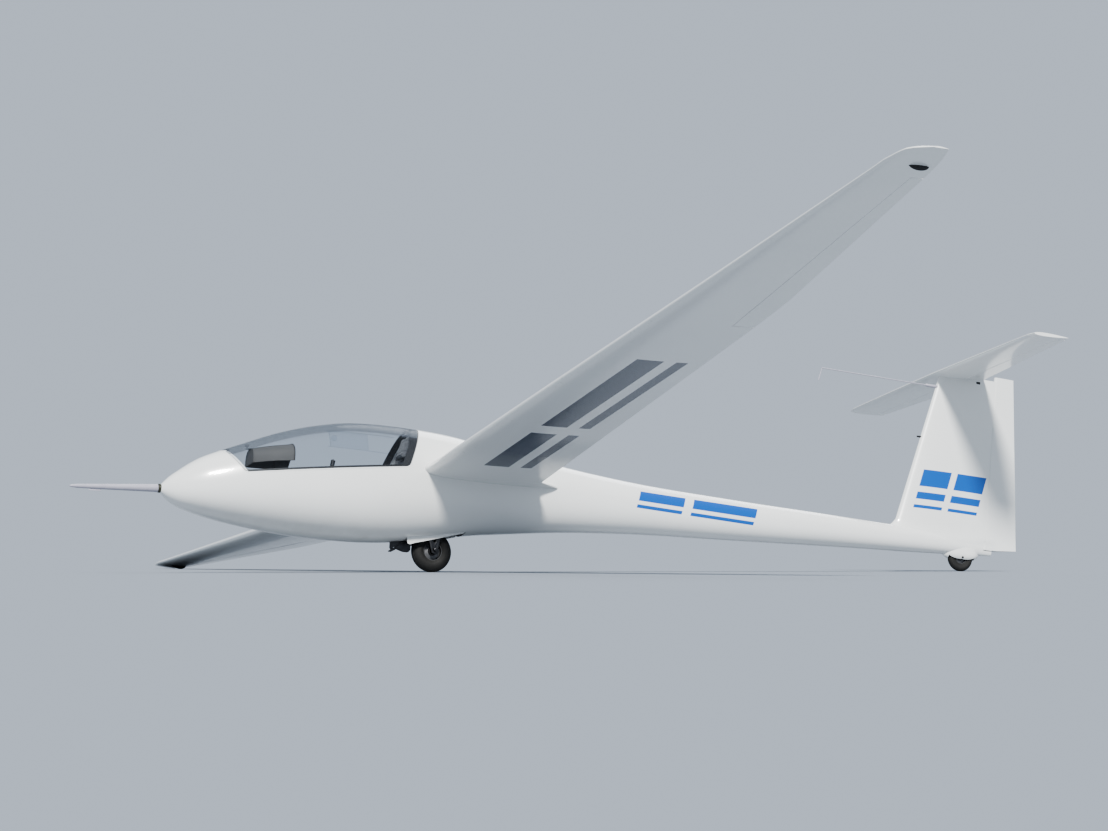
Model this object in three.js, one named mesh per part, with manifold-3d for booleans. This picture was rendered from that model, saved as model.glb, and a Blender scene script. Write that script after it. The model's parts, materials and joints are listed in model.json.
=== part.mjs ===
// A single-seat sailplane of the fifteen metre standard class with a T-tail, parked on its two
// wheels and on the skid under its starboard wing tip. Millimetres.
// Everything is built in the airframe's own frame: X runs aft from the nose ring, Y to starboard
// and Z up. The last section turns the airframe to the attitude in which it stands on the floor.

import * as THREE from 'three';
import { mergeVertices } from 'three/addons/utils/BufferGeometryUtils.js';
import Module from 'manifold-3d';

const wasm = await Module();
wasm.setup();

const DEGREE = Math.PI / 180;

// Clearances
const SEAT_GAP = 0.3;        // between pieces that touch
const RUNNING_GAP = 7;       // between pieces that move past each other
const END_GAP = 10;          // at the two ends of a control surface
const HINGE_PIN_SIZE = 3.5;  // radius of the pins that carry a control surface at its ends
const PIN_END_GAP = 0.7;     // at the ends of those pins, which slope to the faces they meet
const NOSE_SHARE = 0.97;     // radius of a control surface's nose over the half thickness there
const HINGE_STATIONS = [0, 0.15, 0.3, 0.5, 0.75, 1];

// Fuselage. The widest line is the height at which the section is widest.
const SHELL_THICKNESS = 12;
const SHELL_AFT_END = 2900;
const BOOM_AFT_END = 6440;
const RING_POINTS = 32;
const SECTION_SQUARENESS = 2.3;
const FUSELAGE_COLUMNS = ['x', 'keel', 'crown', 'halfWidth', 'widest'];
const FUSELAGE_TABLE = [
  [14, -29, 30, 30, 0],
  [60, -68, 84, 74, 4],
  [120, -100, 136, 112, 10],
  [245, -136, 231, 168, 25],
  [405, -165, 313, 215, 45],
  [560, -184, 383, 247, 65],
  [810, -204, 492, 284, 95],
  [1088, -211, 582, 306, 125],
  [1290, -207, 625, 313, 150],
  [1500, -195, 644, 313, 175],
  [1700, -171, 648, 306, 205],
  [1860, -143, 645, 298, 225],
  [2050, -106, 635, 288, 240],
  [2300, -52, 604, 266, 255],
  [2550, -13, 572, 238, 268],
  [2900, 40, 529, 200, 282],
  [3500, 103, 477, 162, 290],
  [4260, 151, 452, 136, 302],
  [5110, 206, 438, 110, 322],
  [6030, 261, 418, 66, 340],
  [6240, 275, 412, 46, 343],
  [6440, 289, 405, 22, 347],
];

// Canopy outline in side view: down the front edge, along the sill, up the rear arch
const CANOPY_FRONT_TOP = [405, 313];
const CANOPY_FRONT_LOW = [545, 143];
const CANOPY_REAR_LOW = [1715, 322];
const CANOPY_REAR_TOP = [1822, 650];
const CANOPY_GAP = 5;
const GLASS_THICKNESS = 5;
const FRAME_THICKNESS = 16;
const FRAME_WIDTHS = { sill: 12, rear: 48, top: 0, front: 15 };
const FRAME_FRONT_PLATE = { width: 45, half: 62 };
const HINGE_PIN = [285, 215];
const HINGE_PIN_RADIUS = 4;
const HINGE_PIN_HALF = 62;
const HINGE_ARM_OFFSET = 40;
const HINGE_ARM_RADIUS = 5;
const HINGE_ARM_PATH = [HINGE_PIN, [330, 172], [462, 165], [462, 318]];
const HINGE_LUG = { radius: 9, half: 6 };
// Cheeks that hold the pin, from their port to their starboard faces
const HINGE_CHEEKS = [[-62, -52], [-8, 8], [52, 62]];
const HINGE_CHEEK_REACH = { fore: 12, below: 10, above: 60 };

// Wing: sections from the root rib to the tip, all lengths along X or Y
const ROOT_Y = 340;
const DIHEDRAL = 4 * DEGREE;
const WING_ROOT_HEIGHT = 325;
const WING_CAMBER = 0.03;
const WING_COLUMNS = ['y', 'leading', 'trailing', 'thickness'];
const WING_TABLE = [
  [340, 1838, 2686, 0.155],
  [2500, 1868, 2606, 0.152],
  [4650, 1908, 2527, 0.15],
  [7060, 1940, 2262, 0.135],
  [7330, 1953, 2222, 0.125],
  [7440, 1996, 2196, 0.11],
  [7500, 2090, 2178, 0.1],
];
const AILERON_INNER = 4240;
const AILERON_OUTER = 7040;
const AILERON_SHARE = 0.215;
const AIRBRAKE_INNER = 2650;
const AIRBRAKE_OUTER = 3850;
const AIRBRAKE_X = 2230;
const AIRBRAKE_SLOT = 32;
// Heights over the chord line: the slot's floor, the plate's top inside the cap, and the cap
const AIRBRAKE_HEIGHTS = { floor: -15, plateTop: 36, capLow: 35, capHigh: 96, above: 200 };
const AIRBRAKE_PLATE_HALF = 4;
const TIP_SKID_CENTRE = [2145, 7215];
const TIP_SKID_HALF_SIZE = [62, 17, 30];
// The wing root stub: distance from the centre line, growth of the chord, growth of the thickness
const STUB_TABLE = [[120, 0.16, 1.3], [260, 0.12, 1.22]];
const STUB_SHARE_AHEAD = 0.15;

// Tail
const FIN_COLUMNS = ['z', 'leading', 'trailing', 'thickness'];
const FIN_TABLE = [
  [320, 5596, 6654, 0.1],
  [800, 5732, 6634, 0.1],
  [1240, 5857, 6613, 0.1],
  [1672, 5980, 6594, 0.1],
];
const FIN_TOP = 1631;
const RUDDER_HINGE = [[6378, 320], [6449, 1672]];
const RUDDER_FOOT_CUT = [[6445, 300], [6670, 300], [6670, 351], [6445, 326]];
const STABILISER_HEIGHT = 1632;
const STABILISER_COLUMNS = ['y', 'leading', 'trailing', 'thickness'];
const STABILISER_TABLE = [
  [0, 5915, 6330, 0.115],
  [700, 5924, 6292, 0.115],
  [1420, 5938, 6244, 0.11],
  [1500, 5956, 6232, 0.09],
];
const ELEVATOR_HINGE_X = 6172;
const ELEVATOR_INNER = 46;
const ELEVATOR_OUTER = 1440;

// Wheels
const MAIN_WHEEL = { x: 2010, z: -205, radius: 147, halfWidth: 50, bead: 68 };
const TAIL_WHEEL = { x: 6187, z: 245, radius: 100, halfWidth: 26, bead: 44 };
const MAIN_AXLE_RADIUS = 10;
const MAIN_AXLE_HALF = 96;
const TAIL_AXLE_RADIUS = 6;
const TAIL_AXLE_HALF = 46;
const WHEEL_WELL = { front: 1795, back: 2225, half: 98, ceiling: -28 };
const TAIL_WELL = { reach: 112, half: 32, floor: 100 };
const GEAR_LEG = { inner: 68, outer: 82, foot: -230, footHalf: 24, topFront: 1930, topBack: 2060 };
// Side views, as [x, z] points
const GEAR_DOOR_OUTLINE = [[1755, -96], [1775, -180], [1800, -190], [1940, -149], [2030, -121],
  [2120, -92], [2210, -64], [2222, -58], [2222, -36]];
const GEAR_DOOR = { inner: 91.7, outer: 97.7 };
const TOW_HOOK_OUTLINE = [[1692, -240], [1716, -240], [1752, -216], [1790, -206], [1800, -230],
  [1838, -230], [1850, -214], [1850, -120], [1692, -120]];
const TOW_HOOK_HALF = 16;
// Fairing over the tail wheel, shaped like the bottom of a boat
const TAIL_FAIRING_COLUMNS = ['x', 'halfWidth', 'bottom'];
const TAIL_FAIRING_TABLE = [
  [6036, 5, 258],
  [6056, 23, 246],
  [6078, 37, 236],
  [6110, 46, 227],
  [6187, 50, 220],
  [6262, 47, 226],
  [6296, 38, 238],
  [6318, 24, 254],
  [6338, 5, 276],
];
const TAIL_FAIRING_TOP = 318;
const TAIL_FAIRING_WAIST = 290;  // below this height its section rounds in to the bottom

// Cockpit, as [x, z] points in side view where nothing else is said
const COCKPIT_SPACE = { front: 150, floor: -400, top: 900, half: 400 };
const WALL_REACH = [-560, 420];  // along the rear wall from the foot of the rear arch
const BULKHEAD_SETBACK = 34;
const BULKHEAD_THICKNESS = 8;
const SEAT_LINE = [[960, -30], [1090, -70], [1240, -134], [1330, -140], [1420, -70], [1660, 262]];
const SEAT_PAN = { half: 175, drop: [9, -14] };
const SEAT_RIB = { x: [1255, 1325], half: 60, z: [-260, -146] };
const STICK_SLOT = { x: [900, 1222], half: 60, z: [-300, 50] };
const SEAT_CUSHION_OUTLINE = [
  [1240, -133.5], [1327, -139.5], [1412, -74], [1392, -44], [1318, -96], [1244, -94]];
const SEAT_CUSHION_HALF = 160;
// The back cushion, as [distance up the seat back, distance off it]
const BACK_CUSHION_OUTLINE = [[20, SEAT_GAP], [390, SEAT_GAP], [385, 30], [26, 34]];
const BACK_CUSHION_HALF = 150;
const HEADREST = { z: [430, 592], depth: [58, 62], overhang: 6, half: 92 };
// The console under the panel: height, front, back and half width
const CONSOLE_TABLE = [[-230, 700, 820, 66], [60, 720, 842, 62], [206, 790, 880, 95]];
const HOOD_COLUMNS = ['x', 'halfWidth', 'top', 'height'];
const HOOD_TABLE = [[632, 100, 359, 113], [760, 160, 389, 125], [905, 185, 418, 137]];
const HOOD_SQUARENESS = 3;
const HOOD_THICKNESS = 6;
const PANEL_FACE_X = 880;
const PANEL_THICKNESS = 12;
const PANEL_FOOT = [95, 206.3];  // half width and height
const STICK_LINE = [[1150, -230], [1236, 300]];
const STICK_RADIUS = 9;
const GRIP_LINE = [[1233, 286], [1243, 360]];
const GRIP_RADII = [15, 17];
const LEVER = { x: 1100, z: 70, wall: -330, rod: -262, rodRadius: 7, grip: [1040, 1180], gripRadius: 8 };
const PEDALS = { x: [625, 655], bar: 20, barHalf: 120, barRadius: 8, plate: [50, 130], top: 130 };
const PEDAL_POST = { half: 12, z: [-240, 24] };

// Nose and fin fittings
const NOSE_RING = { x: [-4, 14], radius: 31 };
// The boom on the nose droops: x, z and radius
const NOSE_BOOM_TABLE = [[-7, -0.3, 28], [-360, -35, 20], [-570, -55, 14], [-626, -60, 3]];
const NOSE_VANE_OUTLINE = [[-492, -76], [-404, -72], [-396, -46], [-476, -56]];
const NOSE_VANE_HALF = 2.5;
const PROBE_HEIGHT = 1530;
const PROBE_SOCKET = { x: 5853, z: 1532, radii: [10, 13] };
const PROBE_BEND = [4993, 1545];
const PROBE_END = [4966, 1448];
const PROBE_RADIUS = 4;
const PITOT = { x: 5796, z: 1128, radii: [6, 8] };
const FITTING_SINK = 12;  // how far a fitting's root reaches behind the fin's leading edge

// Paints and finishes
const finish = (color, roughness, metalness = 0) =>
  new THREE.MeshStandardMaterial({ color, roughness, metalness });
const gelcoat = finish(0xf2f2ee, 0.18);
const glass = new THREE.MeshStandardMaterial({
  color: 0xbfd2dc, roughness: 0.05, transparent: true, opacity: 0.4,
});
const blackTrim = finish(0x15161a, 0.6);
const oliveCap = finish(0x3b3d2c, 0.5);
const probeTube = finish(0xa9a6b8, 0.4);
const rubber = finish(0x151515, 0.85);
const castAlloy = finish(0x9b9ea2, 0.4, 0.9);
const steel = finish(0x4a4c50, 0.45, 0.9);
const greyInterior = finish(0x8d9094, 0.7);
const fabric = finish(0x5b6068, 0.95);

// Turns rows of numbers into objects with the column names as keys
function rows(columns, table) {
  return table.map((row) => Object.fromEntries(columns.map((name, i) => [name, row[i]])));
}

// The row of a table at a value of its first column, in proportion between the rows beside it
function rowAt(list, value) {
  const names = Object.keys(list[0]);
  const found = list.findIndex((row) => row[names[0]] >= value);
  const i = found < 0 ? list.length - 1 : Math.max(1, found);
  const [a, b] = [list[i - 1], list[i]];
  const share = (value - a[names[0]]) / (b[names[0]] - a[names[0]]);
  return Object.fromEntries(names.map((name) => [name, a[name] + (b[name] - a[name]) * share]));
}

// Solids

function toSolid(geometry) {
  const bare = geometry.clone();
  bare.deleteAttribute('normal');
  bare.deleteAttribute('uv');
  const merged = mergeVertices(bare, 1e-3);
  const solid = new wasm.Manifold(new wasm.Mesh({
    numProp: 3,
    vertProperties: new Float32Array(merged.attributes.position.array),
    triVerts: new Uint32Array(merged.index.array),
  }));
  if (solid.volume() > 0) return solid;
  const turned = merged.index.array.map((_, i, list) => list[i - (i % 3) + (2 - (i % 3))]);
  return new wasm.Manifold(new wasm.Mesh({
    numProp: 3,
    vertProperties: new Float32Array(merged.attributes.position.array),
    triVerts: new Uint32Array(turned),
  }));
}

function toGeometry(solid) {
  const data = solid.getMesh();
  const geometry = new THREE.BufferGeometry();
  geometry.setAttribute('position', new THREE.BufferAttribute(data.vertProperties, 3));
  geometry.setIndex(new THREE.BufferAttribute(data.triVerts, 1));
  return geometry;
}

// The flat end of a loft. Its triangles run with the ring's own order when forward is true.
function capFaces(ring, forward) {
  const spread = new THREE.Box3().setFromPoints(ring).getSize(new THREE.Vector3());
  const [u, v] = ['x', 'y', 'z'].sort((a, b) => spread[b] - spread[a]);
  const flat = ring.map((p) => new THREE.Vector2(p[u], p[v]));
  const faces = THREE.ShapeUtils.triangulateShape(flat, []);
  const runsForward = faces.some((f) => f.some((a, i) => a === 0 && f[(i + 1) % 3] === 1));
  return runsForward === forward ? faces : faces.map(([a, b, c]) => [a, c, b]);
}

// A solid through closed rings that all have the same number of points
function loft(rings) {
  const count = rings[0].length;
  const last = (rings.length - 1) * count;
  const index = [];
  for (let r = 0; r < rings.length - 1; r += 1) {
    for (let i = 0; i < count; i += 1) {
      const a = r * count + i;
      const b = r * count + ((i + 1) % count);
      index.push(a, b, b + count, a, b + count, a + count);
    }
  }
  index.push(...capFaces(rings[0], false).flat());
  index.push(...capFaces(rings.at(-1), true).flat().map((i) => i + last));
  const positions = rings.flat().flatMap((p) => p.toArray());
  const geometry = new THREE.BufferGeometry();
  geometry.setAttribute('position', new THREE.Float32BufferAttribute(positions, 3));
  geometry.setIndex(index);
  return toSolid(geometry);
}

// A side-view outline of [x, z] points as a slab from y = low to y = high
function sideSlab(outline, low, high) {
  return loft([low, high].map((y) => outline.map(([x, z]) => new THREE.Vector3(x, y, z))));
}

function box(xs, ys, zs) {
  const geometry = new THREE.BoxGeometry(xs[1] - xs[0], ys[1] - ys[0], zs[1] - zs[0]);
  geometry.translate((xs[0] + xs[1]) / 2, (ys[0] + ys[1]) / 2, (zs[0] + zs[1]) / 2);
  return toSolid(geometry);
}

// A round bar, or a cone, between two points
function bar(from, to, radius, endRadius = radius, sides = 20) {
  const along = to.clone().sub(from);
  const geometry = new THREE.CylinderGeometry(endRadius, radius, along.length(), sides);
  const turn = new THREE.Quaternion();
  turn.setFromUnitVectors(new THREE.Vector3(0, 1, 0), along.clone().normalize());
  geometry.applyQuaternion(turn);
  geometry.translate(...from.clone().add(to).multiplyScalar(0.5).toArray());
  return toSolid(geometry);
}

// A round part turned about a line along Y. The profile holds [radius, y] points.
function turnedAboutY(profile, x, z, segments = 24) {
  const points = profile.map(([radius, y]) => new THREE.Vector2(radius, y));
  const geometry = new THREE.LatheGeometry([...points, points[0]], segments);
  geometry.translate(x, 0, z);
  return toSolid(geometry);
}

// Moves each side of a closed outline inwards by its own distance. The outline runs anticlockwise,
// and side i starts at point i.
function insetOutline(outline, distances) {
  return outline.map((point, i) => {
    const [ax, az] = unit(outline.at(i - 1), point);
    const [bx, bz] = unit(point, outline[(i + 1) % outline.length]);
    const [before, after] = [distances.at(i - 1), distances[i]];
    const sine = ax * bz - az * bx;
    return [point[0] + (bx * before - ax * after) / sine, point[1] + (bz * before - az * after) / sine];
  });
}

function unit(from, to) {
  const length = Math.hypot(to[0] - from[0], to[1] - from[1]);
  return [(to[0] - from[0]) / length, (to[1] - from[1]) / length];
}

// Body shapes

// Fuselage skin moved inwards by inset, from one station to another
function fuselage(inset, from, to) {
  const stations = rows(FUSELAGE_COLUMNS, FUSELAGE_TABLE);
  const between = stations.filter((s) => s.x > from + 1 && s.x < to - 1);
  const all = [rowAt(stations, from), ...between, rowAt(stations, to)];
  return loft(all.map((station) => fuselageRing(station, inset)));
}

function fuselageRing({ x, keel, crown, halfWidth, widest }, inset) {
  const power = 2 / SECTION_SQUARENESS;
  const ring = [];
  for (let i = 0; i < RING_POINTS; i += 1) {
    const angle = (2 * Math.PI * i) / RING_POINTS;
    const [across, up] = [Math.cos(angle), Math.sin(angle)];
    const reach = (up > 0 ? crown - widest : widest - keel) - inset;
    const y = (halfWidth - inset) * Math.sign(across) * Math.abs(across) ** power;
    const z = widest + reach * Math.sign(up) * Math.abs(up) ** power;
    ring.push(new THREE.Vector3(x, y, z));
  }
  return ring;
}

// Height of the camber line over the chord, a parabola on each side of its crest
function camberLine(u, camber) {
  const crest = 0.4;
  return u < crest
    ? (camber / crest ** 2) * (2 * crest * u - u ** 2)
    : (camber / (1 - crest) ** 2) * (1 - 2 * crest + 2 * crest * u - u ** 2);
}

// Half the thickness over the chord by the four-digit law, with a slightly blunt trailing edge
function halfThickness(u, thickness) {
  const bluntness = 0.0035;
  return 5 * thickness * (0.2969 * Math.sqrt(u) - 0.126 * u - 0.3516 * u ** 2
    + 0.2843 * u ** 3 - 0.1036 * u ** 4) + bluntness * u;
}

// An aerofoil outline of [share of chord, height over chord] points, from the upper trailing edge
// round the nose to the lower one
function aerofoil(thickness, camber) {
  const steps = 14;
  return Array.from({ length: 2 * steps + 1 }, (_, i) => {
    const side = i <= steps ? 1 : -1;
    const u = 0.5 + 0.5 * Math.cos((Math.PI * i) / steps);
    return [u, camberLine(u, camber) + side * halfThickness(u, thickness)];
  });
}

// Radii of a control surface's round nose at the stations of its hinge line, just inside the skin
function noseRadii(from, to, sections, spanOf) {
  return HINGE_STATIONS.map((t) => {
    const point = from.clone().lerp(to, t);
    const { leading, trailing, thickness } = rowAt(sections, spanOf(point));
    const chord = trailing - leading;
    return NOSE_SHARE * chord * halfThickness((point.x - leading) / chord, thickness);
  });
}

// Splits a surface at its hinge line. The fixed part ends in a hollow round the hinge, and the
// moving part has a round nose centred on the hinge, with a pin that reaches the fixed part.
function splitAtHinge(surface, from, to, radii, thick) {
  const along = to.clone().sub(from).normalize();
  const block = (low, high, fore) => loft([low, high].map((p) => (
    [[-fore, -1], [500, -1], [500, 1], [-fore, 1]].map(([aft, out]) =>
      p.clone().add(new THREE.Vector3(aft, 0, 0)).addScaledVector(thick, 150 * out)))));
  const across = along.clone().cross(thick).normalize();
  const up = across.clone().cross(along);
  const round = (extra) => loft(HINGE_STATIONS.map((t, i) => Array.from({ length: 32 }, (_, k) => {
    const angle = (Math.PI * k) / 16;
    return from.clone().lerp(to, t).addScaledVector(across, (radii[i] + extra) * Math.cos(angle))
      .addScaledVector(up, (radii[i] + extra) * Math.sin(angle));
  })));
  const innerFrom = from.clone().addScaledVector(along, END_GAP);
  const innerTo = to.clone().addScaledVector(along, -END_GAP);
  const fixed = surface.subtract(block(from, to, 0)).subtract(round(RUNNING_GAP));
  const pinFrom = from.clone().addScaledVector(along, PIN_END_GAP);
  const pinTo = to.clone().addScaledVector(along, -PIN_END_GAP);
  const moving = surface.intersect(block(innerFrom, innerTo, 0))
    .add(round(0).intersect(block(innerFrom, innerTo, 100)))
    .add(bar(pinFrom, pinTo, HINGE_PIN_SIZE, HINGE_PIN_SIZE, 12));
  return { fixed, moving };
}

// The scene

const parked = new THREE.Group();
const airframe = new THREE.Group();
parked.add(airframe);

function piece(name, solid, material) {
  const mesh = new THREE.Mesh(toGeometry(solid), material);
  mesh.name = name;
  airframe.add(mesh);
}

const vec = (x, y, z) => new THREE.Vector3(x, y, z);
const inner = fuselage(SHELL_THICKNESS, 60, 2700);
const innerSeat = fuselage(SHELL_THICKNESS + SEAT_GAP, 60, 2700);

// Canopy outline, closed above the crown and run anticlockwise seen from port
const towards = (from, to, distance) => {
  const [dx, dz] = unit(from, to);
  return [to[0] + dx * distance, to[1] + dz * distance];
};
const canopyOutline = [
  CANOPY_FRONT_LOW,
  CANOPY_REAR_LOW,
  towards(CANOPY_REAR_LOW, CANOPY_REAR_TOP, 250),
  towards(CANOPY_FRONT_LOW, CANOPY_FRONT_TOP, 800),
];
const canopySlab = (...insets) => sideSlab(
  insetOutline(canopyOutline, insets.length > 1 ? insets : Array(4).fill(insets[0])), -400, 400);

// The rear wall of the cockpit is parallel to the rear arch
const [archX, archZ] = unit(CANOPY_REAR_LOW, CANOPY_REAR_TOP);
const cockpitWall = (setback) => {
  const foot = [CANOPY_REAR_LOW[0] + setback, CANOPY_REAR_LOW[1]];
  return WALL_REACH.map((t) => [foot[0] + archX * t, foot[1] + archZ * t]);
};
const cockpitSpace = (setback) => {
  const [low, high] = cockpitWall(setback);
  const { front: nose, floor, top, half: reach } = COCKPIT_SPACE;
  return sideSlab([[nose, floor], low, high, [nose, top]], -reach, reach);
};

// Wing, one side at a time. side is -1 for port and 1 for starboard.
const wingRows = rows(WING_COLUMNS, WING_TABLE);
const wingHeight = (y) => WING_ROOT_HEIGHT + (y - ROOT_Y) * Math.tan(DIHEDRAL);

function wingRing({ y, leading, trailing, thickness }, side) {
  const chord = trailing - leading;
  return aerofoil(thickness, WING_CAMBER).map(([u, w]) =>
    vec(leading + u * chord, side * y, wingHeight(y) + w * chord));
}

// A point of the aileron's hinge line on the camber line
function aileronHinge(y, side) {
  const { leading, trailing } = rowAt(wingRows, y);
  const chord = trailing - leading;
  const u = 1 - AILERON_SHARE;
  return vec(leading + u * chord, side * y, wingHeight(y) + camberLine(u, WING_CAMBER) * chord);
}

for (const [side, name] of [[-1, 'left'], [1, 'right']]) {
  const whole = loft(wingRows.map((row) => wingRing(row, side)));
  const inboard = aileronHinge(AILERON_INNER, side);
  const outboard = aileronHinge(AILERON_OUTER, side);
  const radii = noseRadii(inboard, outboard, wingRows, (point) => Math.abs(point.y));
  const { fixed, moving } = splitAtHinge(whole, inboard, outboard, radii, vec(0, 0, 1));

  // Airbrake: a plate with a cap strip, in a slot in the upper surface
  const up = vec(0, -side * Math.sin(DIHEDRAL), Math.cos(DIHEDRAL));
  const slab = (halfX, low, high, inset) => loft([AIRBRAKE_INNER + inset, AIRBRAKE_OUTER - inset].map(
    (y) => [[-1, low], [1, low], [1, high], [-1, high]].map(([dx, t]) =>
      vec(AIRBRAKE_X + dx * halfX, side * y, wingHeight(y)).addScaledVector(up, t))));
  const { floor, plateTop, capLow, capHigh, above } = AIRBRAKE_HEIGHTS;
  const slot = slab(AIRBRAKE_SLOT / 2, floor, above, 0);
  const plate = slab(AIRBRAKE_PLATE_HALF, floor + SEAT_GAP, plateTop, RUNNING_GAP);
  const cap = slab(AIRBRAKE_SLOT / 2 - RUNNING_GAP, capLow, capHigh, RUNNING_GAP);
  piece(`airbrake_${name}`, plate.add(cap).intersect(whole), gelcoat);
  piece(`wing_${name}`, fixed.subtract(slot), gelcoat);
  piece(`aileron_${name}`, moving, gelcoat);

  const [skidX, skidY] = TIP_SKID_CENTRE;
  const skid = new THREE.SphereGeometry(1, 20, 14);
  skid.scale(...TIP_SKID_HALF_SIZE);
  skid.translate(skidX, side * skidY, wingHeight(skidY));
  const lifted = whole.translate(0, 0, -SEAT_GAP);
  piece(`tip_skid_${name}`, toSolid(skid).subtract(lifted.add(box(
    [skidX - 100, skidX + 100],
    side < 0 ? [-skidY - 40, -skidY + 40] : [skidY - 40, skidY + 40],
    [wingHeight(skidY) - 2, wingHeight(skidY) + 60]))), blackTrim);
}

// Wing root stubs grow out of the fuselage side
const stubShape = (side) => {
  const root = wingRows[0];
  const tip = aerofoil(root.thickness, WING_CAMBER);
  const ring = (y, stretch, swell) => tip.map(([u, w]) => {
    const chord = root.trailing - root.leading;
    return vec(root.leading + (u * (1 + stretch) - stretch * STUB_SHARE_AHEAD) * chord, side * y,
      WING_ROOT_HEIGHT + w * chord * swell);
  });
  return loft([...STUB_TABLE, [ROOT_Y - SEAT_GAP, 0, 1]].map((row) => ring(...row)));
};

// Fuselage shell, tail boom and fin
const { front, back, half, ceiling } = WHEEL_WELL;
const wheelWell = box([front, back], [-half, half], [-400, ceiling]);
const cockpitVoid = fuselage(SHELL_THICKNESS, 180, 2000).intersect(cockpitSpace(BULKHEAD_SETBACK));
piece('fuselage_shell', fuselage(0, 14, SHELL_AFT_END)
  .add(stubShape(-1)).add(stubShape(1))
  .subtract(cockpitVoid).subtract(canopySlab(0)).subtract(wheelWell), gelcoat);

// Stabiliser with a fixed middle and two elevator halves
const tailRows = rows(STABILISER_COLUMNS, STABILISER_TABLE);
const mirrored = [...tailRows.slice(1).reverse().map((row) => ({ ...row, y: -row.y })), ...tailRows];
const stabiliserSolid = loft(mirrored.map(({ y, leading, trailing, thickness }) => {
  const chord = trailing - leading;
  return aerofoil(thickness, 0).map(([u, w]) =>
    vec(leading + u * chord, y, STABILISER_HEIGHT + w * chord));
}));
let stabiliser = stabiliserSolid;
for (const [side, name] of [[-1, 'left'], [1, 'right']]) {
  const from = vec(ELEVATOR_HINGE_X, side * ELEVATOR_INNER, STABILISER_HEIGHT);
  const to = vec(ELEVATOR_HINGE_X, side * ELEVATOR_OUTER, STABILISER_HEIGHT);
  const radii = noseRadii(from, to, tailRows, (point) => Math.abs(point.y));
  const cut = splitAtHinge(stabiliser, from, to, radii, vec(0, 0, 1));
  stabiliser = cut.fixed;
  piece(`elevator_${name}`, cut.moving, gelcoat);
}
piece('stabiliser', stabiliser, gelcoat);

// Tail boom, fin and rudder
const finRows = rows(FIN_COLUMNS, FIN_TABLE);
const finSolid = loft(finRows.map(({ z, leading, trailing, thickness }) => {
  const chord = trailing - leading;
  return aerofoil(thickness, 0).map(([u, w]) => vec(leading + u * chord, w * chord, z));
}));
const [[hingeLowX, hingeLowZ], [hingeHighX, hingeHighZ]] = RUDDER_HINGE;
const rudderLow = vec(hingeLowX, 0, hingeLowZ);
const rudderHigh = vec(hingeHighX, 0, hingeHighZ);
const boom = fuselage(0, SHELL_AFT_END + SEAT_GAP, BOOM_AFT_END);
const rudderRadii = noseRadii(rudderLow, rudderHigh, finRows, (point) => point.z);
const rudderCut = splitAtHinge(boom.add(finSolid), rudderLow, rudderHigh, rudderRadii, vec(0, 1, 0));
const tailWell = box([TAIL_WHEEL.x - TAIL_WELL.reach, TAIL_WHEEL.x + TAIL_WELL.reach],
  [-TAIL_WELL.half, TAIL_WELL.half], [TAIL_WELL.floor, TAIL_WHEEL.z + TAIL_WELL.reach]);
piece('tail_boom', rudderCut.fixed.subtract(finAbove(true)).subtract(tailWell), gelcoat);
piece('fin', rudderCut.fixed.intersect(finAbove(false))
  .subtract(stabiliserSolid.translate(0, 0, -SEAT_GAP))
  .subtract(stabiliserSolid.translate(SEAT_GAP, 0, -SEAT_GAP)), gelcoat);
piece('rudder', rudderCut.moving.subtract(sideSlab(RUDDER_FOOT_CUT, -200, 200)), gelcoat);

// The fin is bonded to the boom along the boom's own skin
function finAbove(withGap) {
  const skin = withGap ? fuselage(0, 5000, BOOM_AFT_END) : fuselage(-SEAT_GAP, 5000, BOOM_AFT_END);
  return box([5000, 7000], [-200, 200], [330, FIN_TOP + (withGap ? 200 : 0)]).subtract(skin);
}

// Nose
const [ringFront, ringBack] = NOSE_RING.x;
piece('nose_ring', bar(vec(ringFront, 0, 0), vec(ringBack - SEAT_GAP, 0, 0),
  NOSE_RING.radius, NOSE_RING.radius, 32), oliveCap);
const noseTubes = NOSE_BOOM_TABLE.slice(1).map(([x, z, radius], i) => {
  const [fromX, fromZ, fromRadius] = NOSE_BOOM_TABLE[i];
  return bar(vec(fromX, 0, fromZ), vec(x, 0, z), fromRadius, radius, 24);
});
piece('nose_boom', noseTubes.reduce((whole, tube) => whole.add(tube))
  .add(sideSlab(NOSE_VANE_OUTLINE, -NOSE_VANE_HALF, NOSE_VANE_HALF)), probeTube);

// Canopy: a blown pane over a frame that hinges forward on two curved arms
const canopySkin = (inset) => fuselage(inset, 300, 2200);
piece('canopy_glass', canopySkin(0).subtract(canopySkin(GLASS_THICKNESS))
  .intersect(canopySlab(CANOPY_GAP)), glass);
const frameSkin = canopySkin(GLASS_THICKNESS + SEAT_GAP)
  .subtract(canopySkin(GLASS_THICKNESS + FRAME_THICKNESS)).intersect(canopySlab(CANOPY_GAP));
const rim = frameSkin.subtract(canopySlab(
  ...['sill', 'rear', 'top', 'front'].map((edge) => CANOPY_GAP + FRAME_WIDTHS[edge])));
const { width: plateWidth, half: plateHalf } = FRAME_FRONT_PLATE;
const frontPlate = frameSkin.subtract(canopySlab(0, 0, 0, CANOPY_GAP + plateWidth))
  .intersect(box([300, 700], [-plateHalf, plateHalf], [200, 500]));
const [pinX, pinZ] = HINGE_PIN;
const across = (x, z, low, high, radius, sides) =>
  bar(vec(x, low, z), vec(x, high, z), radius, radius, sides);
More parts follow.
